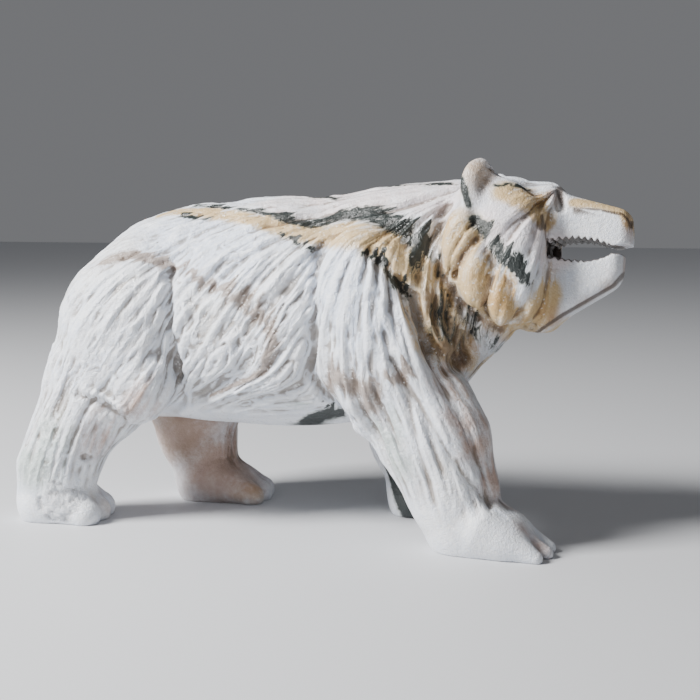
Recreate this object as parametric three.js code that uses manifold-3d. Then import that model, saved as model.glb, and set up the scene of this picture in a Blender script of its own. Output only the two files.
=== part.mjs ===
// A walking bear with open jaws, carved in one piece from banded calcite.
// Millimetres. X runs forward along the bear, Y to its left and Z up from the ground it stands on.

import * as THREE from "three";
import { mergeVertices } from "three/addons/utils/BufferGeometryUtils.js";
import Module from "manifold-3d";

// Driving dimensions
const LENGTH = 212; // from the rump to the nose
const HEAD_LEAN = 7; // degrees that the head leans to the bear's left
const MUZZLE_WIDTH = 17;
const MOUTH_GAPE = 8; // between the lips, half way along the mouth
const MOUTH_LENGTH = 22.5; // from the corner of the mouth to the front teeth
const TOOTH_HEIGHT = 0.9;
const TOOTH_PITCH = 2;
const EYE_DIAMETER = 4;
const EAR_WIDTH = 14.8;
const EAR_HEIGHT = 21;
const EAR_THICKNESS = 8;
const TOE_WIDTH = 9;
const LOCK_WIDTH = 5; // across one carved lock of fur
const LOCK_LENGTH = 26;
const LOCK_DEPTH = 1.2; // from the middle of the relief down into a groove

const COLOUR = 0xe9e4dc;
const ROUGHNESS = 0.42;

// The figure is drawn in units of a 212th of its length
const UNIT = LENGTH / 212;

// How finely the form is sampled, and the triangles that its thinned surface keeps
const CELL = LENGTH / 140;
const TRIANGLES = 9000;

const { lerp, clamp, smoothstep, degToRad } = THREE.MathUtils;

// One station of a body or limb: its centre, half its height seen from the side, and half its width
const station = (x, y, z, deep, wide) => ({
  x: x * UNIT,
  y: y * UNIT,
  z: z * UNIT,
  deep: deep * UNIT,
  wide: wide * UNIT,
});

// Rump, belly, shoulders and neck
const TRUNK = [
  station(-66, 0, 65.5, 30.5, 23),
  station(-53, 0, 71, 33.5, 23),
  station(-36, 0, 72.2, 35.8, 24.5),
  station(-12, 0, 73.2, 37.2, 27),
  station(6, 0, 73.5, 35, 24.5),
  station(20, 0, 77.3, 33.3, 22),
  station(32, 0, 83, 31.5, 20),
  station(46, 0, 88, 26.5, 16.5),
  station(56, 0, 93, 24, 15),
];
const CHEST = [station(14, 0, 66, 26, 20), station(35, 0, 62, 18.5, 16)];

// The bear's right legs are at negative Y, and the right fore leg and left hind leg are the leading ones
const RIGHT_HIND_LEG = [
  station(-60, -14, 75, 23, 18),
  station(-65, -16, 62, 22, 17),
  station(-75, -18.5, 48, 19.5, 12.5),
  station(-85, -21.5, 30, 13.5, 11),
  station(-90, -23.5, 18, 13.5, 10.5),
  station(-91, -24, 8, 13, 10.5),
];
const LEFT_HIND_LEG = [
  station(-60, 14, 75, 23, 18),
  station(-59, 16, 57, 22, 17),
  station(-57, 20, 41, 18.5, 13.5),
  station(-57.5, 23, 25, 14, 11.5),
  station(-54, 24, 12, 13, 10.5),
];
const RIGHT_FORE_LEG = [
  station(26, -14, 86, 16, 17),
  station(30, -17, 62, 22, 16),
  station(47, -20, 34, 17, 13),
  station(53, -21, 18, 14, 11.5),
  station(56, -22, 9, 12, 11),
];
const LEFT_FORE_LEG = [
  station(26, 14, 86, 16, 17),
  station(28, 17, 60, 20, 16),
  station(29, 22, 31, 16, 12.5),
  station(31, 24, 14, 14, 11.5),
];

// A rounded mass laid on the form: its centre, its lean forward from upright, half its width and height, how
// thick it is, and how far it faces forward from straight out to the side
const lobe = (x, y, z, lean, wide, high, thick, facing = 0) => ({
  x: x * UNIT,
  y: y * UNIT,
  z: z * UNIT,
  lean: degToRad(lean),
  wide: wide * UNIT,
  high: high * UNIT,
  thick: thick * UNIT,
  facing: degToRad(facing),
});
const HAUNCHES = [lobe(-65.5, -15, 66, 0, 25, 29, 19.5), lobe(-62, 15, 66, 0, 24, 30, 18.5)];
const SHOULDERS = [lobe(25.5, -17, 68, -10, 21, 37, 17.5), lobe(23, 17, 69, -8, 20, 37, 17.5)];
const KNEES = [lobe(-56, -22.5, 49.5, 35, 12, 15.5, 12), lobe(-49, 22, 49, 20, 11, 15, 9)];

// A valley engraved where one mass meets the next: its depth, half its width, and places along it as x and z
const valley = (depth, halfWidth, ...places) => ({
  depth: depth * UNIT,
  halfWidth: halfWidth * UNIT,
  places: places.map(([x, z]) => ({ x: x * UNIT, z: z * UNIT })),
});
const SHOULDER_BACK = valley(1.8, 2, [8, 96], [8, 80], [6.5, 67], [5.5, 55], [10, 47.5], [19, 40]);
const SHOULDER_FRONT = valley(
  2.8,
  2.2,
  [28, 95],
  [35, 86.5],
  [40, 80],
  [43, 73],
  [46, 65.5],
  [50, 61.5],
  [56, 57],
);
const NECK = valley(3, 2.2, [58, 74], [54, 67], [52.5, 59]);
const RUFF_BACK = valley(2, 2, [47, 109], [45.3, 97], [47.5, 88], [52.5, 79.5], [58, 74], [65, 69.5]);
const RUFF_FRONT = valley(1, 2, [58, 107], [64, 94], [71, 85.5], [72, 74]);
const UPPER_TUFTS = valley(1, 1.6, [59, 99], [55.5, 94], [52, 88]);
const LOWER_TUFTS = valley(1, 1.6, [64.5, 87], [63, 81], [62, 75]);
const BOTH_SIDES = [SHOULDER_BACK, SHOULDER_FRONT, NECK, RUFF_BACK, RUFF_FRONT, UPPER_TUFTS, LOWER_TUFTS];
const RIGHT_VALLEYS = [
  ...BOTH_SIDES,
  valley(2.2, 1.7, [-44.5, 88], [-43.5, 72], [-42.7, 60], [-42.5, 49], [-45, 42], [-50, 37.5]),
  valley(1.4, 1.8, [-76, 46], [-68, 42.5], [-61, 38.5]),
  valley(-0.9, 1.1, [-73, 47.5], [-68, 46], [-63, 44.2], [-58.5, 41.5]),
];
const LEFT_VALLEYS = [...BOTH_SIDES, valley(2.2, 1.7, [-42.5, 88], [-41.5, 72], [-40.7, 60], [-40, 46])];

// Each paw: its heel on the ground, the way it points, its reach from heel to toe tips,
// how blunt its toe tips are and how much wider its outer toe is, as shares of the toe radius
const paw = (x, y, turn, reach, blunt, outer) => ({
  x: x * UNIT,
  y: y * UNIT,
  turn: degToRad(turn),
  reach: reach * UNIT,
  blunt,
  outer,
});
const PAWS = [
  paw(-104, -25, 8, 33, 1.1, 1.1),
  paw(-65, 22, 6, 37, 0.95, 1),
  paw(45, -19, -7, 41, 0.5, 1.5),
  paw(18, 23, 0, 38, 0.75, 1.1),
];

// Skull, before the head leans
const SKULL = [station(64, 0, 99, 20.5, 16.5), station(75, 0, 94.2, 25.2, 16.5)];
const HEAD_HEIGHT = 98 * UNIT; // of the line that the head leans about

// The ruff of each cheek, which overhangs the neck, and three tufts along its lower edge
const RUFF = lobe(66.5, 12, 94.5, -24, 17.5, 25, 10.5);
const TUFTS = [
  lobe(54.5, 18.5, 97, 10, 7, 11, 5),
  lobe(60, 18.5, 87, 2, 6.5, 12, 5.2),
  lobe(67, 16.5, 80, -6, 5.2, 9.5, 5.2),
];

const FACE_FRONT = 83 * UNIT; // where the furred mask ends and the smooth muzzle begins

const smoothMin = (a, b, blend) => {
  const reach = Math.max(blend - Math.abs(a - b), 0);
  return Math.min(a, b) - (reach * reach) / (4 * blend);
};
const smoothMax = (a, b, blend) => -smoothMin(-a, -b, blend);

// How far a point lies outside a limb between two stations, which is oval across
function segmentField(x, y, z, a, b) {
  const dx = b.x - a.x;
  const dz = b.z - a.z;
  const along = ((x - a.x) * dx + (z - a.z) * dz) / (dx * dx + dz * dz);
  const t = Math.min(Math.max(along, 0), 1);
  const deep = a.deep + (b.deep - a.deep) * t;
  const wide = a.wide + (b.wide - a.wide) * t;
  const offX = (x - a.x - t * dx) / deep;
  const offZ = (z - a.z - t * dz) / deep;
  const offY = (y - a.y - (b.y - a.y) * t) / wide;
  const seen = offX * offX + offZ * offZ;
  const off = Math.sqrt(seen + offY * offY);
  if (off < 0.01) return -Math.min(deep, wide);
  return ((off - 1) * off) / Math.sqrt(seen / (deep * deep) + (offY * offY) / (wide * wide));
}

function chainField(x, y, z, stations, blend) {
  let field = segmentField(x, y, z, stations[0], stations[1]);
  for (let i = 1; i + 1 < stations.length; i++)
    field = smoothMin(field, segmentField(x, y, z, stations[i], stations[i + 1]), blend);
  return field;
}

// A round bar that tapers between two points
function barField(x, y, z, from, to, fromRadius, toRadius) {
  const dx = to.x - from.x;
  const dy = to.y - from.y;
  const dz = to.z - from.z;
  const along = ((x - from.x) * dx + (y - from.y) * dy + (z - from.z) * dz) / (dx * dx + dy * dy + dz * dz);
  const t = Math.min(Math.max(along, 0), 1);
  const offX = x - from.x - t * dx;
  const offY = y - from.y - t * dy;
  const offZ = z - from.z - t * dz;
  return Math.sqrt(offX * offX + offY * offY + offZ * offZ) - (fromRadius + (toRadius - fromRadius) * t);
}

const TOES = 3;
const TOE_RADIUS = TOE_WIDTH * 0.55;
const SOLE_HALF_WIDTH = ((TOES + 0.3) * TOE_WIDTH * 0.8) / 2;

// Toes side by side, each from the instep to the ground at its tip, and the heel and palm behind them
const paws = PAWS.map(({ x, y, turn, reach, blunt, outer }) => {
  const point = (ahead, aside, up) => ({
    x: x + ahead * Math.cos(turn) - aside * Math.sin(turn),
    y: y + ahead * Math.sin(turn) + aside * Math.cos(turn),
    z: up,
  });
  const toes = Array.from({ length: TOES }, (_, i) => {
    const aside = (i - (TOES - 1) / 2) * TOE_WIDTH * 0.8;
    const shortened = Math.abs(i - (TOES - 1) / 2) * 0.03 * reach;
    const width = aside * y > 0 ? outer : 1;
    return {
      from: point(0.5 * reach, aside * 0.8, TOE_RADIUS * 1.7),
      to: point(reach - TOE_RADIUS * blunt - shortened, aside, TOE_RADIUS * blunt * 0.5),
      fromRadius: TOE_RADIUS * 1.2 * width,
      toRadius: TOE_RADIUS * blunt,
    };
  });
  const heel = { ...point(0.3 * reach, 0, TOE_RADIUS), deep: 0.28 * reach, wide: SOLE_HALF_WIDTH };
  const palm = { ...point(0.6 * reach, 0, TOE_RADIUS), deep: 0.22 * reach, wide: SOLE_HALF_WIDTH };
  return { toes, heel, palm };
});

const HEAD_COS = Math.cos(degToRad(HEAD_LEAN));
const HEAD_SIN = Math.sin(degToRad(HEAD_LEAN));
const MUZZLE_TOP = { x: 84 * UNIT, z: 113 * UNIT, fall: 0.25 };
const MUZZLE_FLOOR = { x: 84 * UNIT, z: 73.2 * UNIT, rise: 0.62 };
const NOSE_TIP = 105.5 * UNIT;
const CHIN_TIP = 103 * UNIT;
const CHIN_HEIGHT = 97 * UNIT;

// Jaws as one flat-sided block, wider behind, with the mouth still closed
function muzzleField(x, y, z) {
  const top = z - MUZZLE_TOP.z + (x - MUZZLE_TOP.x) * MUZZLE_TOP.fall;
  const floor = (MUZZLE_FLOOR.z + (x - MUZZLE_FLOOR.x) * MUZZLE_FLOOR.rise - z) * 0.85;
  const taper = clamp((x - MUZZLE_TOP.x) / (NOSE_TIP - MUZZLE_TOP.x), -0.5, 1);
  const side = Math.abs(y) - (MUZZLE_WIDTH / 2) * (1.08 - 0.2 * taper);
  const front = x - (z > CHIN_HEIGHT ? NOSE_TIP : CHIN_TIP);
  const back = FACE_FRONT - 5 * UNIT - x;
  const long = Math.max(front, back);
  return smoothMax(smoothMax(smoothMax(top, floor, 4 * UNIT), side, 4 * UNIT), long, 4 * UNIT);
}

const EAR = {
  ...lobe(59, 15.5, 112.3, -10, 0, 0, 0, 50),
  wide: EAR_WIDTH / 2,
  high: EAR_HEIGHT / 2,
  thick: EAR_THICKNESS / 2,
};
const EAR_CUP = {
  ...EAR,
  x: EAR.x + EAR_THICKNESS * 0.45,
  y: EAR.y + EAR_THICKNESS * 0.42,
  z: EAR.z + EAR_HEIGHT * 0.06,
  wide: EAR_WIDTH * 0.3,
  high: EAR_HEIGHT * 0.34,
  thick: EAR_THICKNESS * 0.33,
};

function lobeField(x, y, z, { lean, wide, high, thick, facing, ...at }) {
  const ahead = (x - at.x) * Math.cos(facing) - (y - at.y) * Math.sin(facing);
  const aside = (y - at.y) * Math.cos(facing) + (x - at.x) * Math.sin(facing);
  const above = z - at.z;
  const across = (ahead * Math.cos(lean) - above * Math.sin(lean)) / wide;
  const up = (above * Math.cos(lean) + ahead * Math.sin(lean)) / high;
  const out = aside / thick;
  const off = Math.sqrt(across * across + up * up + out * out);
  if (off < 0.01) return -Math.min(wide, high, thick);
  const slope = Math.sqrt((across / wide) ** 2 + (up / high) ** 2 + (out / thick) ** 2);
  return ((off - 1) * off) / slope;
}

// The bridge between the eyes, and the crease in front of each eye
const BROW = { x: 76 * UNIT, y: 0, z: 107.2 * UNIT };
const BRIDGE = { x: 92 * UNIT, y: 0, z: 103.8 * UNIT };
const CREASE_TOP = { x: 82.8 * UNIT, y: 9.3 * UNIT, z: 119 * UNIT };
const CREASE_FOOT = { x: 84 * UNIT, y: 9.8 * UNIT, z: 108 * UNIT };

function headField(x, y, z) {
  const aside = Math.abs(y);
  let head = chainField(x, y, z, SKULL, 6 * UNIT);
  head = smoothMin(head, lobeField(x, aside, z, RUFF), 2 * UNIT);
  const face = x - FACE_FRONT + 0.3 * Math.max(aside - 8 * UNIT, 0);
  head = smoothMax(head, face, 5 * UNIT);
  for (const tuft of TUFTS) head = smoothMin(head, lobeField(x, aside, z, tuft), UNIT);
  const ear = smoothMax(lobeField(x, aside, z, EAR), -lobeField(x, aside, z, EAR_CUP), UNIT);
  head = smoothMin(head, ear, 2 * UNIT);
  head = smoothMin(head, muzzleField(x, y, z), 4 * UNIT);
  head = smoothMin(head, barField(x, y, z, BROW, BRIDGE, 8 * UNIT, 5 * UNIT), 3 * UNIT);
  return smoothMax(head, -barField(x, aside, z, CREASE_TOP, CREASE_FOOT, 1.9 * UNIT, 1.5 * UNIT), UNIT);
}

// How far the valleys of one side cut the stone back at a point, fading towards the middle of the bear
function valleyDepth(x, y, z) {
  let cut = 0;
  for (const { depth, halfWidth, places } of y < 0 ? RIGHT_VALLEYS : LEFT_VALLEYS) {
    let nearest = Infinity;
    for (let i = 0; i + 1 < places.length; i++) {
      const [a, b] = [places[i], places[i + 1]];
      const dx = b.x - a.x;
      const dz = b.z - a.z;
      const t = clamp(((x - a.x) * dx + (z - a.z) * dz) / (dx * dx + dz * dz), 0, 1);
      nearest = Math.min(nearest, (x - a.x - t * dx) ** 2 + (z - a.z - t * dz) ** 2);
    }
    cut += depth * Math.exp(-nearest / halfWidth ** 2);
  }
  return cut * clamp((Math.abs(y) - 7 * UNIT) / (6 * UNIT), 0, 1);
}

// The stone goes on a little below the soles, until it is sawn off flat there
const BELOW_GROUND = 2 * UNIT;

// The whole bear before its fur is carved: below zero inside the stone
function bearField(x, y, z) {
  let field = chainField(x, y, z, TRUNK, 10 * UNIT);
  field = smoothMin(field, chainField(x, y, z, CHEST, 6 * UNIT), 7 * UNIT);
  for (const leg of [RIGHT_HIND_LEG, LEFT_HIND_LEG, RIGHT_FORE_LEG, LEFT_FORE_LEG])
    field = smoothMin(field, chainField(x, y, z, leg, 6 * UNIT), 4 * UNIT);
  for (const mass of [...HAUNCHES, ...SHOULDERS, ...KNEES])
    field = smoothMin(field, lobeField(x, y, z, mass), 1.6 * UNIT);
  if (z < 30 * UNIT) {
    for (const { toes, heel, palm } of paws) {
      field = smoothMin(field, segmentField(x, y, z, heel, palm), 4 * UNIT);
      let spread = Infinity;
      for (const { from, to, fromRadius, toRadius } of toes)
        spread = smoothMin(spread, barField(x, y, z, from, to, fromRadius, toRadius), 1.2 * UNIT);
      field = smoothMin(field, spread, 3 * UNIT);
    }
  }
  if (x > 30 * UNIT) {
    const headY = y * HEAD_COS - (z - HEAD_HEIGHT) * HEAD_SIN;
    const headZ = HEAD_HEIGHT + (z - HEAD_HEIGHT) * HEAD_COS + y * HEAD_SIN;
    field = smoothMin(field, headField(x, headY, headZ), 1.5 * UNIT);
  }
  field += valleyDepth(x, y, z);
  return Math.max(field, -BELOW_GROUND - z);
}

// The form sampled on a grid that reaches a little past it on every side
const LOW = new THREE.Vector3(-114, -46, -4).multiplyScalar(UNIT);
const HIGH = new THREE.Vector3(114, 46, 132).multiplyScalar(UNIT);
const COUNT = HIGH.clone().sub(LOW).divideScalar(CELL).ceil().addScalar(1);
const ROW = COUNT.x;
const SHEET = COUNT.x * COUNT.y;
const samples = new Float32Array(SHEET * COUNT.z);
for (let k = 0, i = 0; k < COUNT.z; k++)
  for (let j = 0; j < COUNT.y; j++)
    for (let h = 0; h < COUNT.x; h++, i++)
      samples[i] = bearField(LOW.x + h * CELL, LOW.y + j * CELL, LOW.z + k * CELL);

const STRIDES = [1, ROW, SHEET];

// Where stone and air meet corner to corner across a square of samples, the air is filled in
function closePinches() {
  let filled = 0;
  for (let i = 0; i + 1 + ROW + SHEET < samples.length; i++)
    for (let axis = 0; axis < 3; axis++) {
      const [b, c] = [STRIDES[axis], STRIDES[(axis + 1) % 3]];
      const stone = [i, i + b, i + c, i + b + c].map((n) => samples[n] < 0);
      if (stone[0] !== stone[3] || stone[1] !== stone[2] || stone[0] === stone[1]) continue;
      for (const n of stone[0] ? [i + b, i + c] : [i, i + b + c]) samples[n] = -0.01 * CELL;
      filled++;
    }
  return filled;
}
while (closePinches() > 0);

// Which way the sampled form rises steepest at a point
function outward(point, target) {
  const fx = (point.x - LOW.x) / CELL;
  const fy = (point.y - LOW.y) / CELL;
  const fz = (point.z - LOW.z) / CELL;
  const h = clamp(Math.floor(fx), 0, COUNT.x - 2);
  const j = clamp(Math.floor(fy), 0, COUNT.y - 2);
  const k = clamp(Math.floor(fz), 0, COUNT.z - 2);
  const i = h + j * ROW + k * SHEET;
  const [u, v, w] = [fx - h, fy - j, fz - k];
  const at = (a, b, c) => samples[i + a + b * ROW + c * SHEET];
  const slopeX = lerp(lerp(at(1, 0, 0) - at(0, 0, 0), at(1, 1, 0) - at(0, 1, 0), v),
    lerp(at(1, 0, 1) - at(0, 0, 1), at(1, 1, 1) - at(0, 1, 1), v), w);
  const slopeY = lerp(lerp(at(0, 1, 0) - at(0, 0, 0), at(1, 1, 0) - at(1, 0, 0), u),
    lerp(at(0, 1, 1) - at(0, 0, 1), at(1, 1, 1) - at(1, 0, 1), u), w);
  const slopeZ = lerp(lerp(at(0, 0, 1) - at(0, 0, 0), at(1, 0, 1) - at(1, 0, 0), u),
    lerp(at(0, 1, 1) - at(0, 1, 0), at(1, 1, 1) - at(1, 1, 0), u), v);
  return target.set(slopeX, slopeY, slopeZ).normalize();
}

// The surface between the samples: one point in each cell that it crosses, four-sided faces between them
function wrapSurface() {
  const points = [];
  const faces = [];
  const pointOfCell = new Int32Array(samples.length).fill(-1);
  const corner = Array.from({ length: 8 }, (_, c) => [c & 1, (c >> 1) & 1, c >> 2]);
  for (let k = 0; k + 1 < COUNT.z; k++)
    for (let j = 0; j + 1 < COUNT.y; j++)
      for (let h = 0; h + 1 < COUNT.x; h++) {
        const i = h + j * ROW + k * SHEET;
        const value = corner.map(([a, b, c]) => samples[i + a + b * ROW + c * SHEET]);
        const inside = value.filter((v) => v < 0).length;
        if (inside === 0 || inside === 8) continue;
        const sum = new THREE.Vector3();
        let crossings = 0;
        for (let c = 0; c < 8; c++)
          for (let axis = 0; axis < 3; axis++) {
            const d = c | (1 << axis);
            if (d === c || value[c] < 0 === value[d] < 0) continue;
            const t = value[c] / (value[c] - value[d]);
            const step = corner[c].map((from, n) => lerp(from, corner[d][n], t));
            sum.add(new THREE.Vector3(...step));
            crossings++;
          }
        pointOfCell[i] = points.length;
        points.push(sum.divideScalar(crossings).add(new THREE.Vector3(h, j, k)).multiplyScalar(CELL).add(LOW));
      }
  for (let k = 1; k + 1 < COUNT.z; k++)
    for (let j = 1; j + 1 < COUNT.y; j++)
      for (let h = 1; h + 1 < COUNT.x; h++) {
        const i = h + j * ROW + k * SHEET;
        for (let axis = 0; axis < 3; axis++) {
          const starts = samples[i] < 0;
          if (starts === samples[i + STRIDES[axis]] < 0) continue;
          const [b, c] = [STRIDES[(axis + 1) % 3], STRIDES[(axis + 2) % 3]];
          const ring = [i, i - b, i - b - c, i - c].map((cell) => pointOfCell[cell]);
          if (!starts) ring.reverse();
          faces.push([ring[0], ring[1], ring[2]], [ring[0], ring[2], ring[3]]);
        }
      }
  return { points, faces };
}

// A repeatable random number from 0 to 1 for each whole-numbered place
function scatter(i, j, k) {
  let seed = Math.imul(i, 374761393) + Math.imul(j, 668265263) + Math.imul(k, 1274126177);
  seed = Math.imul(seed ^ (seed >>> 13), 1103515245);
  return ((seed ^ (seed >>> 16)) >>> 0) / 4294967296;
}

function noise(x, y, z) {
  const [i, j, k] = [Math.floor(x), Math.floor(y), Math.floor(z)];
  const ease = (t) => t * t * (3 - 2 * t);
  const [u, v, w] = [ease(x - i), ease(y - j), ease(z - k)];
  const side = (c) => lerp(lerp(scatter(i, j, c), scatter(i + 1, j, c), u),
    lerp(scatter(i, j + 1, c), scatter(i + 1, j + 1, c), u), v);
  return lerp(side(k), side(k + 1), w);
}

// Which way the strands lie at places on the side of the bear, how far each place holds sway, and how deep the
// grooves are there as a share of LOCK_DEPTH
const guide = (x, z, along, down, sway, deep) => ({
  x: x * UNIT,
  z: z * UNIT,
  along,
  down,
  sway: sway * UNIT,
  deep,
});
const COMB = [
  guide(-85, 85, -0.8, 0.8, 16, 1),
  guide(-95, 60, -0.4, 1, 16, 1.1),
  guide(-68, 85, -0.7, 0.8, 18, 0.8),
  guide(-66, 62, -0.6, 1, 16, 0.8),
  guide(-66, 50, -0.8, 0.7, 12, 1),
  guide(-85, 35, -0.35, 1, 14, 0.8),
  guide(-95, 15, -0.2, 1, 12, 0.8),
  guide(-53, 24, 0, 1, 12, 0.3),
  guide(-35, 85, -0.8, 0.9, 16, 0.9),
  guide(-30, 65, -0.6, 1, 14, 1.2),
  guide(-8, 72, -0.75, 1, 14, 1.3),
  guide(-25, 48, -0.9, 0.6, 12, 1.2),
  guide(-10, 38, -1, 0.1, 10, 1),
  guide(-60, 102, -1, 0.6, 12, 0.5),
  guide(-30, 106, -1, 0.4, 12, 0.6),
  guide(0, 108, -1, 0.3, 12, 0.6),
  guide(4, 92, -0.7, 1, 12, 1),
  guide(25, 112, -1, 0.35, 12, 0.7),
  guide(22, 85, -0.15, 1, 12, 0.9),
  guide(22, 62, -0.05, 1, 12, 1.1),
  guide(40, 96, -0.35, 1, 10, 1.5),
  guide(46, 80, -0.1, 1, 8, 1.8),
  guide(36, 66, 0.3, 1, 10, 1.5),
  guide(45, 45, 0.5, 1, 14, 1.6),
  guide(56, 25, 0.3, 1, 14, 1),
  guide(50, 112, -0.8, 0.5, 10, 0.7),
  guide(56, 94, -0.5, 1, 9, 0.4),
  guide(63, 82, -0.2, 1, 7, 0.4),
  guide(68, 112, -0.8, 0.4, 8, 0.5),
  guide(74, 100, -0.6, 1, 10, 0.6),
  guide(74, 82, -0.35, 1, 10, 0.7),
];

// Sets the strands' direction at a point, and says how deep its grooves are
function strandDirection(point, target) {
  let along = 0;
  let down = 0;
  let deep = 0;
  let total = 0;
  for (const g of COMB) {
    const away = ((point.x - g.x) ** 2 + (point.z - g.z) ** 2) / (g.sway * g.sway);
    const pull = Math.exp(-away) + 1e-4 / (1 + away);
    const length = Math.hypot(g.along, g.down);
    along += (pull * g.along) / length;
    down += (pull * g.down) / length;
    deep += pull * g.deep;
    total += pull;
  }
  target.set(along, 0, -down).normalize();
  return deep / total;
}

// Noise drawn out along the strands, which gives each lock its own value from end to end
function strandValue(start, size, reach) {
  const steps = 12;
  const stride = reach / 2 / steps;
  const spot = new THREE.Vector3();
  const normal = new THREE.Vector3();
  const way = new THREE.Vector3();
  let sum = noise(start.x / size, start.y / size, start.z / size);
  for (const sense of [-1, 1]) {
    spot.copy(start);
    for (let i = 0; i < steps; i++) {
      strandDirection(spot, way);
      outward(spot, normal);
      way.addScaledVector(normal, -way.dot(normal)).normalize();
      spot.addScaledVector(way, sense * stride);
      sum += noise(spot.x / size, spot.y / size, spot.z / size);
    }
  }
  return sum / (2 * steps + 1);
}

// Where the carver cut fur: not on the muzzle, the ears, the toes and the insides of the legs
function furCover(point) {
  const muzzle = 1 - smoothstep(point.x, FACE_FRONT - 3 * UNIT, FACE_FRONT + UNIT);
  const toes = smoothstep(point.z, 8 * UNIT, 20 * UNIT);
  const inside = smoothstep(Math.abs(point.y), 12 * UNIT, 20 * UNIT);
  const below = smoothstep(point.z, 38 * UNIT, 48 * UNIT);
  const ear = Math.hypot(point.x - EAR.x, point.z - EAR.z - 3 * UNIT) / (11 * UNIT);
  const besideHead = smoothstep(Math.abs(point.y), 12 * UNIT, 15 * UNIT);
  const onEar = besideHead * (1 - smoothstep(ear, 0.8, 1.1));
  return muzzle * toes * Math.max(inside, below) * (1 - onEar);
}

// Locks have rounded crests and a sharper groove between them
const SPREAD = 0.062; // how far the drawn-out noise usually strays from its middle

function carveFur(points) {
  const normal = new THREE.Vector3();
  const way = new THREE.Vector3();
  return points.map((point) => {
    const cover = furCover(point) * strandDirection(point, way);
    if (cover < 0.01) return point.clone();
    const value = clamp((strandValue(point, LOCK_WIDTH, LOCK_LENGTH) - 0.5) / SPREAD, -2, 2);
    const relief = 1 - Math.exp(-0.5 * value);
    outward(point, normal);
    return point.clone().addScaledVector(normal, cover * LOCK_DEPTH * relief);
  });
}

// Quadric of the plane through a face, as the ten numbers of its upper triangle
function planeQuadric(a, b, c) {
  const normal = b.clone().sub(a).cross(c.clone().sub(a));
  const area = normal.length();
  if (area > 0) normal.divideScalar(area);
  const plane = [normal.x, normal.y, normal.z, -normal.dot(a)];
  const quadric = [];
  for (let i = 0; i < 4; i++) for (let j = i; j < 4; j++) quadric.push(area * plane[i] * plane[j]);
  return quadric;
}

const quadricError = (q, p) =>
  q[0] * p.x * p.x + q[4] * p.y * p.y + q[7] * p.z * p.z + q[9] +
  2 * (q[1] * p.x * p.y + q[2] * p.x * p.z + q[5] * p.y * p.z + q[3] * p.x + q[6] * p.y + q[8] * p.z);

// The place where an edge's two ends do least harm when they are folded into one
function foldPlace(q, a, b) {
  const middle = a.clone().lerp(b, 0.5);
  const matrix = new THREE.Matrix3().set(q[0], q[1], q[2], q[1], q[4], q[5], q[2], q[5], q[7]);
  const size = q[0] + q[4] + q[7];
  if (Math.abs(matrix.determinant()) > 1e-4 * size ** 3) {
    const best = new THREE.Vector3(-q[3], -q[6], -q[8]).applyMatrix3(matrix.invert());
    if (best.distanceTo(middle) < 1.5 * a.distanceTo(b)) return best;
  }
  return [middle, a.clone(), b.clone()].sort((m, n) => quadricError(q, m) - quadricError(q, n))[0];
}

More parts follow.
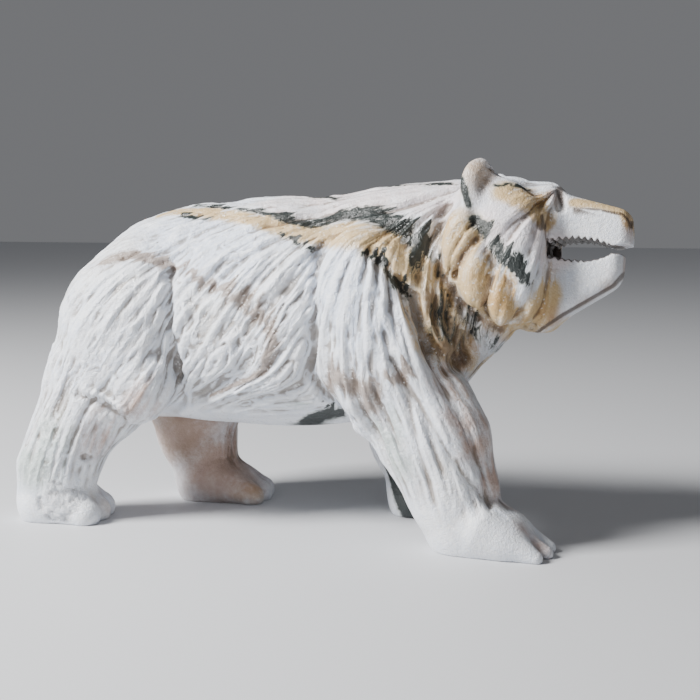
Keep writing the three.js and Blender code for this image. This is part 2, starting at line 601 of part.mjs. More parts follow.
// Folds away the edges that change the form least, cheapest first, until few enough faces are left
function thin(points, faces, wanted) {
  const facesAt = points.map(() => new Set());
  const quadrics = points.map(() => new Float64Array(10));
  faces.forEach((face, i) => {
    const quadric = planeQuadric(...face.map((v) => points[v]));
    for (const v of face) {
      facesAt[v].add(i);
      quadric.forEach((part, n) => (quadrics[v][n] += part));
    }
  });
  const age = new Int32Array(points.length);
  const heap = [];
  const swap = (i, j) => ([heap[i], heap[j]] = [heap[j], heap[i]]);
  const push = (item) => {
    let i = heap.push(item) - 1;
    while (i > 0 && heap[(i - 1) >> 1].cost > heap[i].cost) {
      swap(i, (i - 1) >> 1);
      i = (i - 1) >> 1;
    }
  };
  const pop = () => {
    swap(0, heap.length - 1);
    const item = heap.pop();
    for (let i = 0; ; ) {
      let least = i;
      for (const child of [2 * i + 1, 2 * i + 2])
        if (child < heap.length && heap[child].cost < heap[least].cost) least = child;
      if (least === i) return item;
      swap(i, least);
      i = least;
    }
  };
  const neighbours = (v) => {
    const found = new Set();
    for (const f of facesAt[v]) for (const w of faces[f]) if (w !== v) found.add(w);
    return found;
  };
  const offer = (a, b) => {
    const q = quadrics[a].map((part, n) => part + quadrics[b][n]);
    const place = foldPlace(q, points[a], points[b]);
    const slack = 1e-3 * points[a].distanceToSquared(points[b]);
    push({ cost: quadricError(q, place) + slack, a, b, place, ages: age[a] + age[b] });
  };
  // A fold may not turn a face over or squeeze it to a sliver
  const spoils = (v, other, place) => {
    for (const f of facesAt[v]) {
      const face = faces[f];
      if (face.includes(other)) continue;
      const before = face.map((w) => points[w]);
      const after = face.map((w) => (w === v ? place : points[w]));
      const was = before[1].clone().sub(before[0]).cross(before[2].clone().sub(before[0]));
      const now = after[1].clone().sub(after[0]).cross(after[2].clone().sub(after[0]));
      const longest = Math.max(...after.map((p, n) => p.distanceToSquared(after[(n + 1) % 3])));
      if (was.dot(now) < 0.3 * was.length() * now.length() || now.length() < 0.12 * longest) return true;
    }
    return false;
  };
  points.forEach((_, a) => neighbours(a).forEach((b) => a < b && offer(a, b)));
  let left = faces.length;
  while (left > wanted && heap.length > 0) {
    const { a, b, place, ages } = pop();
    if (!facesAt[a] || !facesAt[b] || ages !== age[a] + age[b]) continue;
    const around = neighbours(b);
    if (!around.has(a)) continue;
    const shared = [...neighbours(a)].filter((v) => around.has(v));
    if (shared.length !== 2 || spoils(a, b, place) || spoils(b, a, place)) continue;
    for (const f of facesAt[b]) {
      if (faces[f].includes(a)) {
        for (const v of faces[f]) if (v !== b) facesAt[v].delete(f);
        left--;
      } else {
        faces[f] = faces[f].map((v) => (v === b ? a : v));
        facesAt[a].add(f);
      }
    }
    quadrics[b].forEach((part, n) => (quadrics[a][n] += part));
    points[a].copy(place);
    facesAt[b] = null;
    age[a]++;
    for (const v of neighbours(a)) offer(a, v);
  }
  const kept = new Set();
  facesAt.forEach((set) => set && set.forEach((f) => kept.add(f)));
  return [...kept].map((f) => faces[f]);
}

const wasm = await Module();
wasm.setup();

// A closed solid from a three.js geometry, with the points that faces share merged
function solidOf(geometry) {
  const bare = geometry.index ? geometry.clone() : mergeVertices(geometry);
  for (const name of ["normal", "uv"]) bare.deleteAttribute(name);
  const merged = mergeVertices(bare, 1e-4);
  return new wasm.Manifold(new wasm.Mesh({
    numProp: 3,
    vertProperties: new Float32Array(merged.attributes.position.array),
    triVerts: new Uint32Array(merged.index.array),
  }));
}

function geometryOf(solid) {
  const mesh = solid.getMesh();
  const geometry = new THREE.BufferGeometry();
  geometry.setAttribute("position", new THREE.BufferAttribute(mesh.vertProperties, 3));
  geometry.setIndex(new THREE.BufferAttribute(mesh.triVerts, 1));
  geometry.computeVertexNormals();
  return geometry;
}

// The mouth seen from the side, cut right through between the jaws, with scalloped teeth on both lips
function mouthGeometry() {
  const corner = new THREE.Vector2(77.5 * UNIT, 95.2 * UNIT);
  const fangs = corner.x + MOUTH_LENGTH;
  const teeth = Math.round(MOUTH_LENGTH / TOOTH_PITCH) - 1;
  const lipLine = (sense) => {
    const line = [];
    for (let i = 1; i <= 2 * teeth; i++) {
      const t = i / (2 * teeth + 1);
      const bow = Math.sin(Math.PI * t) ** 0.45;
      const tooth = i % 2 ? TOOTH_HEIGHT * Math.min(1, 3 * t) : 0;
      const lip = (bow * MOUTH_GAPE) / 2 - tooth;
      line.push(new THREE.Vector2(corner.x + t * MOUTH_LENGTH, corner.y + sense * lip));
    }
    return line;
  };
  const slot = 1.1 * UNIT;
  const beyond = NOSE_TIP + 4 * UNIT;
  const shape = new THREE.Shape([
    corner,
    ...lipLine(-1),
    new THREE.Vector2(fangs, corner.y - slot),
    new THREE.Vector2(beyond, corner.y - slot),
    new THREE.Vector2(beyond, corner.y + slot),
    new THREE.Vector2(fangs, corner.y + slot),
    ...lipLine(1).reverse(),
  ]);
  const across = 1.5 * MUZZLE_WIDTH;
  return new THREE.ExtrudeGeometry(shape, { depth: across, bevelEnabled: false })
    .translate(0, 0, -across / 2)
    .rotateX(Math.PI / 2);
}

// Turns and lifts a cutter from the level head to the leaning one
const leanWithHead = (geometry) =>
  geometry
    .translate(0, 0, -HEAD_HEIGHT)
    .rotateX(-degToRad(HEAD_LEAN))
    .translate(0, 0, HEAD_HEIGHT);

const surface = wrapSurface();
const carved = carveFur(surface.points);
const keptFaces = thin(carved, surface.faces, TRIANGLES);
const skin = new THREE.BufferGeometry();
const corners = keptFaces.flat().flatMap((v) => carved[v].toArray());
skin.setAttribute("position", new THREE.Float32BufferAttribute(corners, 3));

// Everything below the ground is sawn off, which leaves flat soles
const ground = new THREE.BoxGeometry(2 * LENGTH, LENGTH, LENGTH).translate(0, 0, -LENGTH / 2);
let stone = solidOf(skin).subtract(solidOf(ground));
stone = stone.subtract(solidOf(leanWithHead(mouthGeometry())));
for (const side of [-1, 1]) {
  const eye = new THREE.SphereGeometry(EYE_DIAMETER / 2, 10, 6);
  eye.translate(CREASE_TOP.x, side * CREASE_TOP.y, 112 * UNIT);
  stone = stone.subtract(solidOf(leanWithHead(eye)));
}

const bear = new THREE.Mesh(
  geometryOf(stone),
  new THREE.MeshStandardMaterial({ color: COLOUR, roughness: ROUGHNESS, metalness: 0 }),
);
bear.name = "bear";

// The middle of its footprint and height box stands at the origin
const box = new THREE.Box3().setFromBufferAttribute(bear.geometry.attributes.position);
bear.position.set(-(box.min.x + box.max.x) / 2, -(box.min.y + box.max.y) / 2, -box.min.z);

const carving = new THREE.Group();
carving.add(bear);
export default carving;
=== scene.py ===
import math

import bpy
import numpy as np
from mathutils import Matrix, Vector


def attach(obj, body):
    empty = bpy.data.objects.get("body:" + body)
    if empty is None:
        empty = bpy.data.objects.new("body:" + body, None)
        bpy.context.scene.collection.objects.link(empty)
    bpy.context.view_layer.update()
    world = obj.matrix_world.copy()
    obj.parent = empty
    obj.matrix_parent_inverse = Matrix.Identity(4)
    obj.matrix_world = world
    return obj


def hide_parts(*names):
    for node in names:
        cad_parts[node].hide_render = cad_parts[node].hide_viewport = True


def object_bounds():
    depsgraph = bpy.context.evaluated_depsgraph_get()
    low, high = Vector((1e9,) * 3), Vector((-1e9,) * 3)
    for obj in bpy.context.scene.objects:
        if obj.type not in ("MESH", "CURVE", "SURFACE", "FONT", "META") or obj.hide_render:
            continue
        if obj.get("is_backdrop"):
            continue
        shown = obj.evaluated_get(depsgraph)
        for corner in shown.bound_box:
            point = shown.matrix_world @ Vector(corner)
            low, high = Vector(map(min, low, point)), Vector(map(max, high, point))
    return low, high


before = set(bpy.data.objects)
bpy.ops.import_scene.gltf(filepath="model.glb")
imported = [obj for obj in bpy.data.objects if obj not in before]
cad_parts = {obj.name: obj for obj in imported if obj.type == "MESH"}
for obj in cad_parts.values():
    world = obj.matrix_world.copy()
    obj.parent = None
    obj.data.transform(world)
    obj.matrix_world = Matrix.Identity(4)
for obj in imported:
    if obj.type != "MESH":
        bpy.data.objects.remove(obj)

# The bear is drawn with X forward, Y to its left and Z up, in units of a millimetre at its real size.
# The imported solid's length says how long a unit is, and the middle of the drawn bear becomes the origin.
CAD_LOW, CAD_HIGH = (list(corner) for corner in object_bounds())
DRAWN_LENGTH = 210.9
MIDDLE = np.array([0.06, 0.6, 0])
UNIT = (CAD_HIGH[0] - CAD_LOW[0]) / DRAWN_LENGTH

# Size of the grid's cells, and the most triangles that the bear may have
CELL = 0.52
MOST_TRIANGLES = 192000

# Stations of the body and limbs: x, y, z of the centre, half the height seen from the side, half the width
TRUNK = [
    (-66, 0, 65.5, 30.5, 23),
    (-53, 0, 71, 33.5, 23),
    (-36, 0, 72.2, 35.8, 24.5),
    (-12, 0, 73.2, 37.2, 27),
    (6, 0, 73.5, 35, 24.5),
    (20, 0, 77.3, 33.3, 22),
    (32, 0, 83, 31.5, 20),
    (46, 0, 88, 26.5, 16.5),
    (56, 0, 93, 24, 15),
]
CHEST = [(14, 0, 66, 26, 20), (35, 0, 62, 18.5, 16)]
LEGS = {
    "right hind": [
        (-60, -14, 75, 23, 18),
        (-65, -16, 62, 22, 17),
        (-75, -18.5, 48, 19.5, 12.5),
        (-85, -21.5, 30, 13.5, 11),
        (-90, -23.5, 18, 13.5, 10.5),
        (-91, -24, 8, 13, 10.5),
    ],
    "left hind": [
        (-60, 14, 75, 23, 18),
        (-59, 16, 57, 22, 17),
        (-57, 20, 41, 18.5, 13.5),
        (-57.5, 23, 25, 14, 11.5),
        (-54, 24, 12, 13, 10.5),
    ],
    "right fore": [
        (26, -14, 86, 16, 17),
        (30, -17, 62, 22, 16),
        (47, -20, 34, 17, 13),
        (53, -21, 18, 14, 11.5),
        (56, -22, 9, 12, 11),
    ],
    "left fore": [
        (26, 14, 86, 16, 17),
        (28, 17, 60, 20, 16),
        (29, 22, 31, 16, 12.5),
        (31, 24, 14, 14, 11.5),
    ],
}
SKULL = [(64, 0, 99, 20.5, 16.5), (75, 0, 94.2, 25.2, 16.5)]

# Rounded masses: x, y, z, lean forward from upright in degrees, half the width, half the height, thickness,
# and how far they face forward from straight out to the side
HAUNCHES = [(-65.5, -15, 66, 0, 25, 29, 19.5, 0), (-62, 15, 66, 0, 24, 30, 18.5, 0)]
SHOULDERS = [(25.5, -17, 68, -10, 21, 37, 17.5, 0), (23, 17, 69, -8, 20, 37, 17.5, 0)]
KNEES = [(-56, -22.5, 49.5, 35, 12, 15.5, 12, 0), (-49, 22, 49, 20, 11, 15, 9, 0)]
RUFF = (66.5, 12, 94.5, -24, 17.5, 25, 10.5, 0)
TUFTS = [
    (54.5, 18.5, 97, 10, 7, 11, 5, 0),
    (60, 18.5, 87, 2, 6.5, 12, 5.2, 0),
    (67, 16.5, 80, -6, 5.2, 9.5, 5.2, 0),
]
EAR = (59, 15.5, 112.3, -10, 7.4, 10.5, 4, 50)
EAR_CUP = (62.6, 18.9, 113.5, -10, 4.6, 7, 2.6, 50)

# Round bars, as their two ends and the radius at each: one added for the bridge of the nose,
# and two cut away for the eye's hollow and the nostril
BRIDGE = ((76, 0, 107.2), (92, 0, 103.8), 8, 5)
EYE_HOLLOW = ((82.8, 9.3, 119), (84, 9.8, 108), 1.9, 1.5)
NOSTRIL = ((106.5, 3.2, 104), (103, 3.2, 103), 1.5, 0.6)

# Valleys engraved where one mass meets the next, for the right side and the left:
# depth, half the width, then places along the valley as x and z
BOTH_SIDES = [
    (1.8, 2, (8, 96), (8, 80), (6.5, 67), (5.5, 55), (10, 47.5), (19, 40)),
    (2.8, 2.2, (28, 95), (35, 86.5), (40, 80), (43, 73), (46, 65.5), (50, 61.5), (56, 57)),
    (3, 2.2, (58, 74), (54, 67), (52.5, 59)),
    (1, 1.6, (59, 99), (55.5, 94), (52, 88)),
    (1, 1.6, (64.5, 87), (63, 81), (62, 75)),
    (1, 2, (58, 107), (64, 94), (71, 85.5), (72, 74)),
    (2, 2, (47, 109), (45.3, 97), (47.5, 88), (52.5, 79.5), (58, 74), (65, 69.5)),
]
RIGHT_VALLEYS = BOTH_SIDES + [
    (2.2, 1.7, (-44.5, 88), (-43.5, 72), (-42.7, 60), (-42.5, 49), (-45, 42), (-50, 37.5)),
    (1.4, 1.8, (-76, 46), (-68, 42.5), (-61, 38.5)),
    (-0.9, 1.1, (-73, 47.5), (-68, 46), (-63, 44.2), (-58.5, 41.5)),
]
LEFT_VALLEYS = BOTH_SIDES + [
    (2.2, 1.7, (-42.5, 88), (-41.5, 72), (-40.7, 60), (-40.3, 50)),
]

# Paws: heel x and y, the way it points in degrees, reach from heel to toe tips, how blunt the tips are
# and how much wider the outer toe is
PAWS = [
    (-104, -25, 8, 33, 1.1, 1.1),
    (-65, 22, 6, 37, 0.95, 1),
    (45, -19, -7, 41, 0.5, 1.5),
    (18, 23, 0, 38, 0.75, 1.1),
]
TOES = 3
TOE_RADIUS = 4.95
TOE_PITCH = 7.2
SOLE_HALF_WIDTH = 11.9
# Shares of a paw's reach: how far along the heel and the palm lie, and half the length of each
HEEL = (0.3, 0.28)
PALM = (0.6, 0.22)

HEAD_LEAN = math.radians(7)
HEAD_HEIGHT = 98
FACE_FRONT = 83
MUZZLE_START = 84
MUZZLE_LENGTH = 21.5
MUZZLE_WIDTH = 17
MUZZLE_TOP = 113
MUZZLE_FALL = 0.25
JAW_FLOOR = 73.2
JAW_RISE = 0.62
UPPER_TIP = 105.5
LOWER_TIP = 103
MOUTH_CORNER = 77.5
MOUTH_HEIGHT = 95.2
MOUTH_LENGTH = 22.5
MOUTH_GAPE = 8.2
MOUTH_HALF_WIDTH = 13
LIPS_START = 95
LIPS_HALF_GAP = 1.1
TOOTH_HEIGHT = 1.2
TOOTH_PITCH = 2
LOWER_TEETH_END = 94

# How softly each form runs into the next
TRUNK_BLEND = 10
LIMB_BLEND = 6
CHEST_JOIN = 7
LEG_JOIN = 4
MASS_JOIN = 1.6
SOLE_JOIN = 4
TOES_JOIN = 3
HEAD_JOIN = 1.5
MUZZLE_EDGE = 4
# A distance beyond any that matters
FAR_OFF = 400.0


def smooth_min(a, b, blend):
    """The lesser of two fields, rounded where they meet."""
    reach = np.maximum(blend - np.abs(a - b), 0)
    return np.minimum(a, b) - reach * reach / (4 * blend)


def smooth_max(a, b, blend):
    """The greater of two fields, rounded where they meet."""
    return -smooth_min(-a, -b, blend)


def segment_field(p, a, b):
    """How far points lie outside a limb between two stations, which is oval across."""
    x, y, z = p
    dx, dz = b[0] - a[0], b[2] - a[2]
    t = np.clip(((x - a[0]) * dx + (z - a[2]) * dz) / (dx * dx + dz * dz), 0, 1)
    deep = a[3] + (b[3] - a[3]) * t
    wide = a[4] + (b[4] - a[4]) * t
    off_x = (x - a[0] - t * dx) / deep
    off_z = (z - a[2] - t * dz) / deep
    off_y = (y - a[1] - (b[1] - a[1]) * t) / wide
    seen = off_x * off_x + off_z * off_z
    off = np.sqrt(seen + off_y * off_y) + 1e-4
    slope = np.sqrt(seen / (deep * deep) + (off_y / wide) ** 2) + 1e-6
    return (off - 1) * off / slope


def chain_field(p, stations, blend):
    """A limb or the trunk as a chain of its stations."""
    field = segment_field(p, stations[0], stations[1])
    for a, b in zip(stations[1:], stations[2:]):
        field = smooth_min(field, segment_field(p, a, b), blend)
    return field


def bar_field(p, start, end, start_radius, end_radius):
    """A round bar that tapers between two points."""
    x, y, z = p
    dx, dy, dz = (e - s for s, e in zip(start, end))
    along = (x - start[0]) * dx + (y - start[1]) * dy + (z - start[2]) * dz
    t = np.clip(along / (dx * dx + dy * dy + dz * dz), 0, 1)
    off_x = x - start[0] - t * dx
    off_y = y - start[1] - t * dy
    off_z = z - start[2] - t * dz
    return np.sqrt(off_x ** 2 + off_y ** 2 + off_z ** 2) - (start_radius + (end_radius - start_radius) * t)


def lobe_field(p, lobe):
    """A rounded mass, such as a haunch or a tuft."""
    at_x, at_y, at_z, lean, wide, high, thick, facing = lobe
    x, y, z = p
    ahead, aside = x - at_x, y - at_y
    if facing:
        c, s = math.cos(math.radians(facing)), math.sin(math.radians(facing))
        ahead, aside = ahead * c - aside * s, aside * c + ahead * s
    c, s = math.cos(math.radians(lean)), math.sin(math.radians(lean))
    across = (ahead * c - (z - at_z) * s) / wide
    up = ((z - at_z) * c + ahead * s) / high
    out = aside / thick
    off = np.sqrt(across ** 2 + up ** 2 + out ** 2) + 1e-4
    slope = np.sqrt((across / wide) ** 2 + (up / high) ** 2 + (out / thick) ** 2) + 1e-6
    return (off - 1) * off / slope


def muzzle_field(p):
    """Jaws as one flat-sided block, wider behind, with the mouth still closed."""
    x, y, z = p
    ahead = x - MUZZLE_START
    top = z - MUZZLE_TOP + ahead * MUZZLE_FALL
    floor = (JAW_FLOOR + ahead * JAW_RISE - z) * 0.85
    taper = np.clip(ahead / MUZZLE_LENGTH, -0.5, 1)
    side = np.abs(y) - (MUZZLE_WIDTH / 2) * (1.08 - 0.2 * taper)
    front = x - np.where(z > 97, UPPER_TIP, LOWER_TIP)
    ends = np.maximum(front, FACE_FRONT - 5 - x)
    across = smooth_max(smooth_max(top, floor, MUZZLE_EDGE), side, MUZZLE_EDGE)
    return smooth_max(across, ends, MUZZLE_EDGE)


def head_field(p):
    """The head before it leans: skull, ruff, tufts, ears, muzzle, eyes, nostrils and mouth."""
    x, y, z = p
    beside = (x, np.abs(y), z)
    head = chain_field(p, SKULL, LIMB_BLEND)
    head = smooth_min(head, lobe_field(beside, RUFF), 2)
    head = smooth_max(head, x - FACE_FRONT + 0.3 * np.maximum(np.abs(y) - 8, 0), 5)
    for tuft in TUFTS:
        head = smooth_min(head, lobe_field(beside, tuft), 1)
    ear = smooth_max(lobe_field(beside, EAR), -lobe_field(beside, EAR_CUP), 1)
    head = smooth_min(head, ear, 2)
    head = smooth_min(head, muzzle_field(p), MUZZLE_EDGE)
    head = smooth_min(head, bar_field(p, *BRIDGE), 3)
    head = smooth_max(head, -bar_field(beside, *EYE_HOLLOW), 1)
    head = smooth_max(head, -bar_field(beside, *NOSTRIL), 0.8)
    return smooth_max(head, -mouth_field(p), 0.5)


def mouth_field(p):
    """The gap cut right through between the jaws, with scalloped teeth along both lips."""
    x, y, z = p
    t = np.clip((x - MOUTH_CORNER) / MOUTH_LENGTH, 0, 1)
    bow = np.maximum(np.sin(np.pi * t), 0) ** 0.45
    gap = np.maximum(MOUTH_GAPE / 2 * bow, np.where(x > LIPS_START, LIPS_HALF_GAP, 0))
    half = np.where(x > MOUTH_CORNER, gap, -1)
    tooth = TOOTH_HEIGHT * np.abs(np.sin((x - MOUTH_CORNER) * math.pi / TOOTH_PITCH)) ** 1.5 * (half > 2)
    upper = z - MOUTH_HEIGHT - half + tooth
    lower = MOUTH_HEIGHT - z - half + tooth * np.clip((LOWER_TEETH_END - x) / 6, 0.25, 0.8)
    beside = np.abs(y) - MOUTH_HALF_WIDTH
    return np.maximum(np.maximum(np.maximum(upper, lower), beside), MOUTH_CORNER - x)


def stretches(x, z, line):
    """Each stretch of a line of x and z: its ends, how far along it places lie, and how far off."""
    for a, b in zip(line, line[1:]):
        dx, dz = b[0] - a[0], b[1] - a[1]
        t = np.clip(((x - a[0]) * dx + (z - a[1]) * dz) / (dx * dx + dz * dz), 0, 1)
        yield a, b, t, x - a[0] - t * dx, z - a[1] - t * dz


def valley_depth(p, valleys):
    """How far valleys seen from the side cut the stone back, fading towards the middle of the bear."""
    x, y, z = p
    depth = 0
    for deep, half_width, *places in valleys:
        xs, zs = zip(*places)
        room = 8
        if min(xs) - room > x.max() or max(xs) + room < x.min():
            continue
        if min(zs) - room > z.max() or max(zs) + room < z.min():
            continue
        nearest = FAR_OFF
        for _, _, _, off_x, off_z in stretches(x, z, places):
            nearest = np.minimum(nearest, off_x ** 2 + off_z ** 2)
        depth = depth + deep * np.exp(-nearest / half_width ** 2)
    return depth * np.clip((np.abs(y) - 7) / 6, 0, 1)


def paw_field(p, paw):
    """The sole of a paw, and its spread toes."""
    x, y, turn, reach, blunt, outer = paw
    c, s = math.cos(math.radians(turn)), math.sin(math.radians(turn))

    def point(ahead, aside, up):
        return (x + ahead * c - aside * s, y + ahead * s + aside * c, up)

    heel = (*point(HEEL[0] * reach, 0, TOE_RADIUS), HEEL[1] * reach, SOLE_HALF_WIDTH)
    palm = (*point(PALM[0] * reach, 0, TOE_RADIUS), PALM[1] * reach, SOLE_HALF_WIDTH)
    spread = None
    for i in range(TOES):
        place = i - (TOES - 1) / 2
        aside = place * TOE_PITCH
        width = outer if place * y > 0 else 1
        start = point(0.5 * reach, aside * 0.8, TOE_RADIUS * 1.7)
        end = point(reach - TOE_RADIUS * blunt - abs(place) * 0.03 * reach, aside, TOE_RADIUS * blunt * 0.5)
        toe = bar_field(p, start, end, TOE_RADIUS * 1.2 * width, TOE_RADIUS * blunt)
        spread = toe if spread is None else smooth_min(spread, toe, 1.2)
    return segment_field(p, heel, palm), spread


def level_head(p):
    """Where points lie when the head's lean is taken out."""
    x, y, z = p
    c, s = math.cos(HEAD_LEAN), math.sin(HEAD_LEAN)
    return x, y * c - (z - HEAD_HEIGHT) * s, HEAD_HEIGHT + (z - HEAD_HEIGHT) * c + y * s


def bear_field(p):
    """The whole bear before its fur is carved: below zero inside the stone."""
    x, y, z = p
    low, high = ([axis.min() for axis in p], [axis.max() for axis in p])

    def near(stations):
        """Whether a form with these stations may come close to any of the points."""
        room = 14
        for axis, extent in ((0, 3), (1, 4), (2, 3)):
            if min(s[axis] - s[extent] for s in stations) - room > high[axis]:
                return False
            if max(s[axis] + s[extent] for s in stations) + room < low[axis]:
                return False
        return True

    field = np.full(x.shape, 40.0, np.float32)
    if near(TRUNK):
        field = np.minimum(field, chain_field(p, TRUNK, TRUNK_BLEND))
    if near(CHEST):
        field = smooth_min(field, chain_field(p, CHEST, LIMB_BLEND), CHEST_JOIN)
    for leg in LEGS.values():
        if near(leg):
            field = smooth_min(field, chain_field(p, leg, LIMB_BLEND), LEG_JOIN)
    for mass in HAUNCHES + SHOULDERS + KNEES:
        if near([(*mass[:3], 34, 20)]):
            field = smooth_min(field, lobe_field(p, mass), MASS_JOIN)
    if low[2] < 30:
        for paw in PAWS:
            if near([(paw[0] + paw[3] / 2, paw[1], 6, paw[3] * 0.7, 16)]):
                sole, toes = paw_field(p, paw)
                field = smooth_min(smooth_min(field, sole, SOLE_JOIN), toes, TOES_JOIN)
    if high[0] > 30 and high[2] > 50:
        field = smooth_min(field, head_field(level_head(p)), HEAD_JOIN)
    if high[1] > 7:
        field = field + np.where(y > 0, valley_depth(p, LEFT_VALLEYS), 0)
    if low[1] < -7:
        field = field + np.where(y < 0, valley_depth(p, RIGHT_VALLEYS), 0)
    return np.maximum(field, -z).astype(np.float32)


# Points lower than this are laid flat on the ground
SOLE_FLATTENING = 0.15
# The lowest and highest corner of the grid
LOW = np.array([-112, -44, -2.26])
HIGH = np.array([112, 44, 132])


def sample_form():
    """The field on a fine grid, exact near the surface and only right in sign elsewhere."""
    span = 4
    blocks = np.ceil((HIGH - LOW) / (CELL * span)).astype(int)
    coarse = np.empty(blocks + 1, np.float32)
    step = CELL * span
    axes = [LOW[n] + step * np.arange(blocks[n] + 1) for n in range(3)]
    batch = 8
    for i in range(0, blocks[0] + 1, batch):
        for k in range(0, blocks[2] + 1, batch):
            grid = np.meshgrid(axes[0][i:i + batch], axes[1], axes[2][k:k + batch], indexing="ij")
            coarse[i:i + batch, :, k:k + batch] = bear_field(tuple(g.astype(np.float32) for g in grid))
    fine = np.repeat(np.repeat(np.repeat(coarse, span, 0), span, 1), span, 2)
    fine = np.ascontiguousarray(fine[:-span + 1, :-span + 1, :-span + 1])
    corners = [coarse[a:blocks[0] + a, b:blocks[1] + b, c:blocks[2] + c]
               for a in (0, 1) for b in (0, 1) for c in (0, 1)]
    least = np.minimum.reduce([np.abs(c) for c in corners])
    active = least < step * 1.7
    inner = np.arange(span + 1)
    batch = 6
    for i in range(0, blocks[0], batch):
        for j in range(0, blocks[1], batch):
            for k in range(0, blocks[2], batch):
                here = np.argwhere(active[i:i + batch, j:j + batch, k:k + batch]) + (i, j, k)
                if not len(here):
                    continue
                index = [here[:, n, None] * span + inner for n in range(3)]
                shape = (len(here),) + (span + 1,) * 3
                h = np.broadcast_to(index[0][:, :, None, None], shape).ravel()
                v = np.broadcast_to(index[1][:, None, :, None], shape).ravel()
                w = np.broadcast_to(index[2][:, None, None, :], shape).ravel()
                place = tuple((LOW[n] + CELL * axis).astype(np.float32) for n, axis in enumerate((h, v, w)))
                fine[h, v, w] = bear_field(place)
    return coarse, step, fine


def wrap_surface(samples):
    """Surface nets: a point in each cell that the surface crosses, and a quad around each crossed edge."""
    stone = samples < 0
    shape = np.array(samples.shape) - 1
    count = np.zeros(shape, np.uint8)
    corners = [(a, b, c) for a in (0, 1) for b in (0, 1) for c in (0, 1)]
    for a, b, c in corners:
        count += stone[a:shape[0] + a, b:shape[1] + b, c:shape[2] + c]
    cells = np.argwhere((count > 0) & (count < 8))
    value = {c: samples[cells[:, 0] + c[0], cells[:, 1] + c[1], cells[:, 2] + c[2]] for c in corners}
    total = np.zeros((len(cells), 3), np.float32)
    hits = np.zeros(len(cells), np.float32)
    for start in corners:
        for axis in range(3):
            if start[axis]:
                continue
            end = tuple(1 if n == axis else start[n] for n in range(3))
            crossed = (value[start] < 0) != (value[end] < 0)
            t = np.where(crossed, value[start] / (value[start] - value[end] + 1e-12), 0)
            for n in range(3):
                total[:, n] += np.where(crossed, t if n == axis else start[n], 0)
            hits += crossed
    points = LOW + CELL * (cells + total / hits[:, None])
    number = np.full(shape, -1, np.int32)
    number[tuple(cells.T)] = np.arange(len(cells))
    quads = []
    for axis in range(3):
        b, c = np.eye(3, dtype=int)[(axis + 1) % 3], np.eye(3, dtype=int)[(axis + 2) % 3]
        ahead = [slice(1, -1)] * 3
        ahead[axis] = slice(2, None)
        first = stone[1:-1, 1:-1, 1:-1]
        second = stone[tuple(ahead)]
        edges = np.argwhere(first != second) + 1
        ring = [number[tuple((edges - shift).T)] for shift in (0 * b, b, b + c, c)]
        quad = np.stack(ring, 1)
        outward = stone[tuple(edges.T)]
        quad[~outward] = quad[~outward][:, ::-1]
        quads.append(quad)
    return points, np.concatenate(quads)


def corner_shares(part):
    """The eight corners of a cell, and how much each counts at places within it."""
    for a in (0, 1):
        for b in (0, 1):
            for c in (0, 1):
                share = (part[:, 0] if a else 1 - part[:, 0]) * (part[:, 1] if b else 1 - part[:, 1])
                yield a, b, c, share * (part[:, 2] if c else 1 - part[:, 2])


def look_up(grid, low, step, points):
    """A grid's values between its samples, at any points."""
    place = (points - low) / step
    limit = np.array(grid.shape[:3]) - 2
    whole = np.clip(np.floor(place).astype(np.int32), 0, limit)
    part = np.clip(place - whole, 0, 1).astype(np.float32)
    total = 0
    for a, b, c, share in corner_shares(part):
        value = grid[whole[:, 0] + a, whole[:, 1] + b, whole[:, 2] + c]
        total = total + (share[:, None] * value if value.ndim > 1 else share * value)
    return total


def normals_at(samples, low, step, points):
    """Which way the surface faces at points on it."""
    reach = step * 0.6
    slopes = []
    for n in range(3):
        nudge = np.zeros(3)
        nudge[n] = reach
        ahead = look_up(samples, low, step, points + nudge)
        slopes.append(ahead - look_up(samples, low, step, points - nudge))
    normal = np.stack(slopes, 1)
    return normal / np.maximum(np.linalg.norm(normal, axis=1, keepdims=True), 1e-6)


# Large odd factors that scramble whole numbers
SCATTER_FACTORS = (374761393, 668265263, 1274126177)
SCRAMBLE = 1103515245


def scatter(i, j, k):
    """A repeatable random number from 0 to 1 for each whole-numbered place."""
    seed = np.zeros(i.shape, np.uint32)
    for place, factor in zip((i, j, k), SCATTER_FACTORS):
        seed += place.astype(np.uint32) * np.uint32(factor)
    seed = (seed ^ (seed >> np.uint32(13))) * np.uint32(SCRAMBLE)
    return (seed ^ (seed >> np.uint32(16))).astype(np.float32) / 2 ** 32


def noise(points):
    """Smooth seeded noise from 0 to 1, with swells one unit across."""
    whole = np.floor(points)
    part = (points - whole).astype(np.float32)
    part = part * part * (3 - 2 * part)
    i, j, k = whole.astype(np.int32).T
    total = 0
    for a, b, c, share in corner_shares(part):
        total = total + share * scatter(i + a, j + b, k + c)
    return total


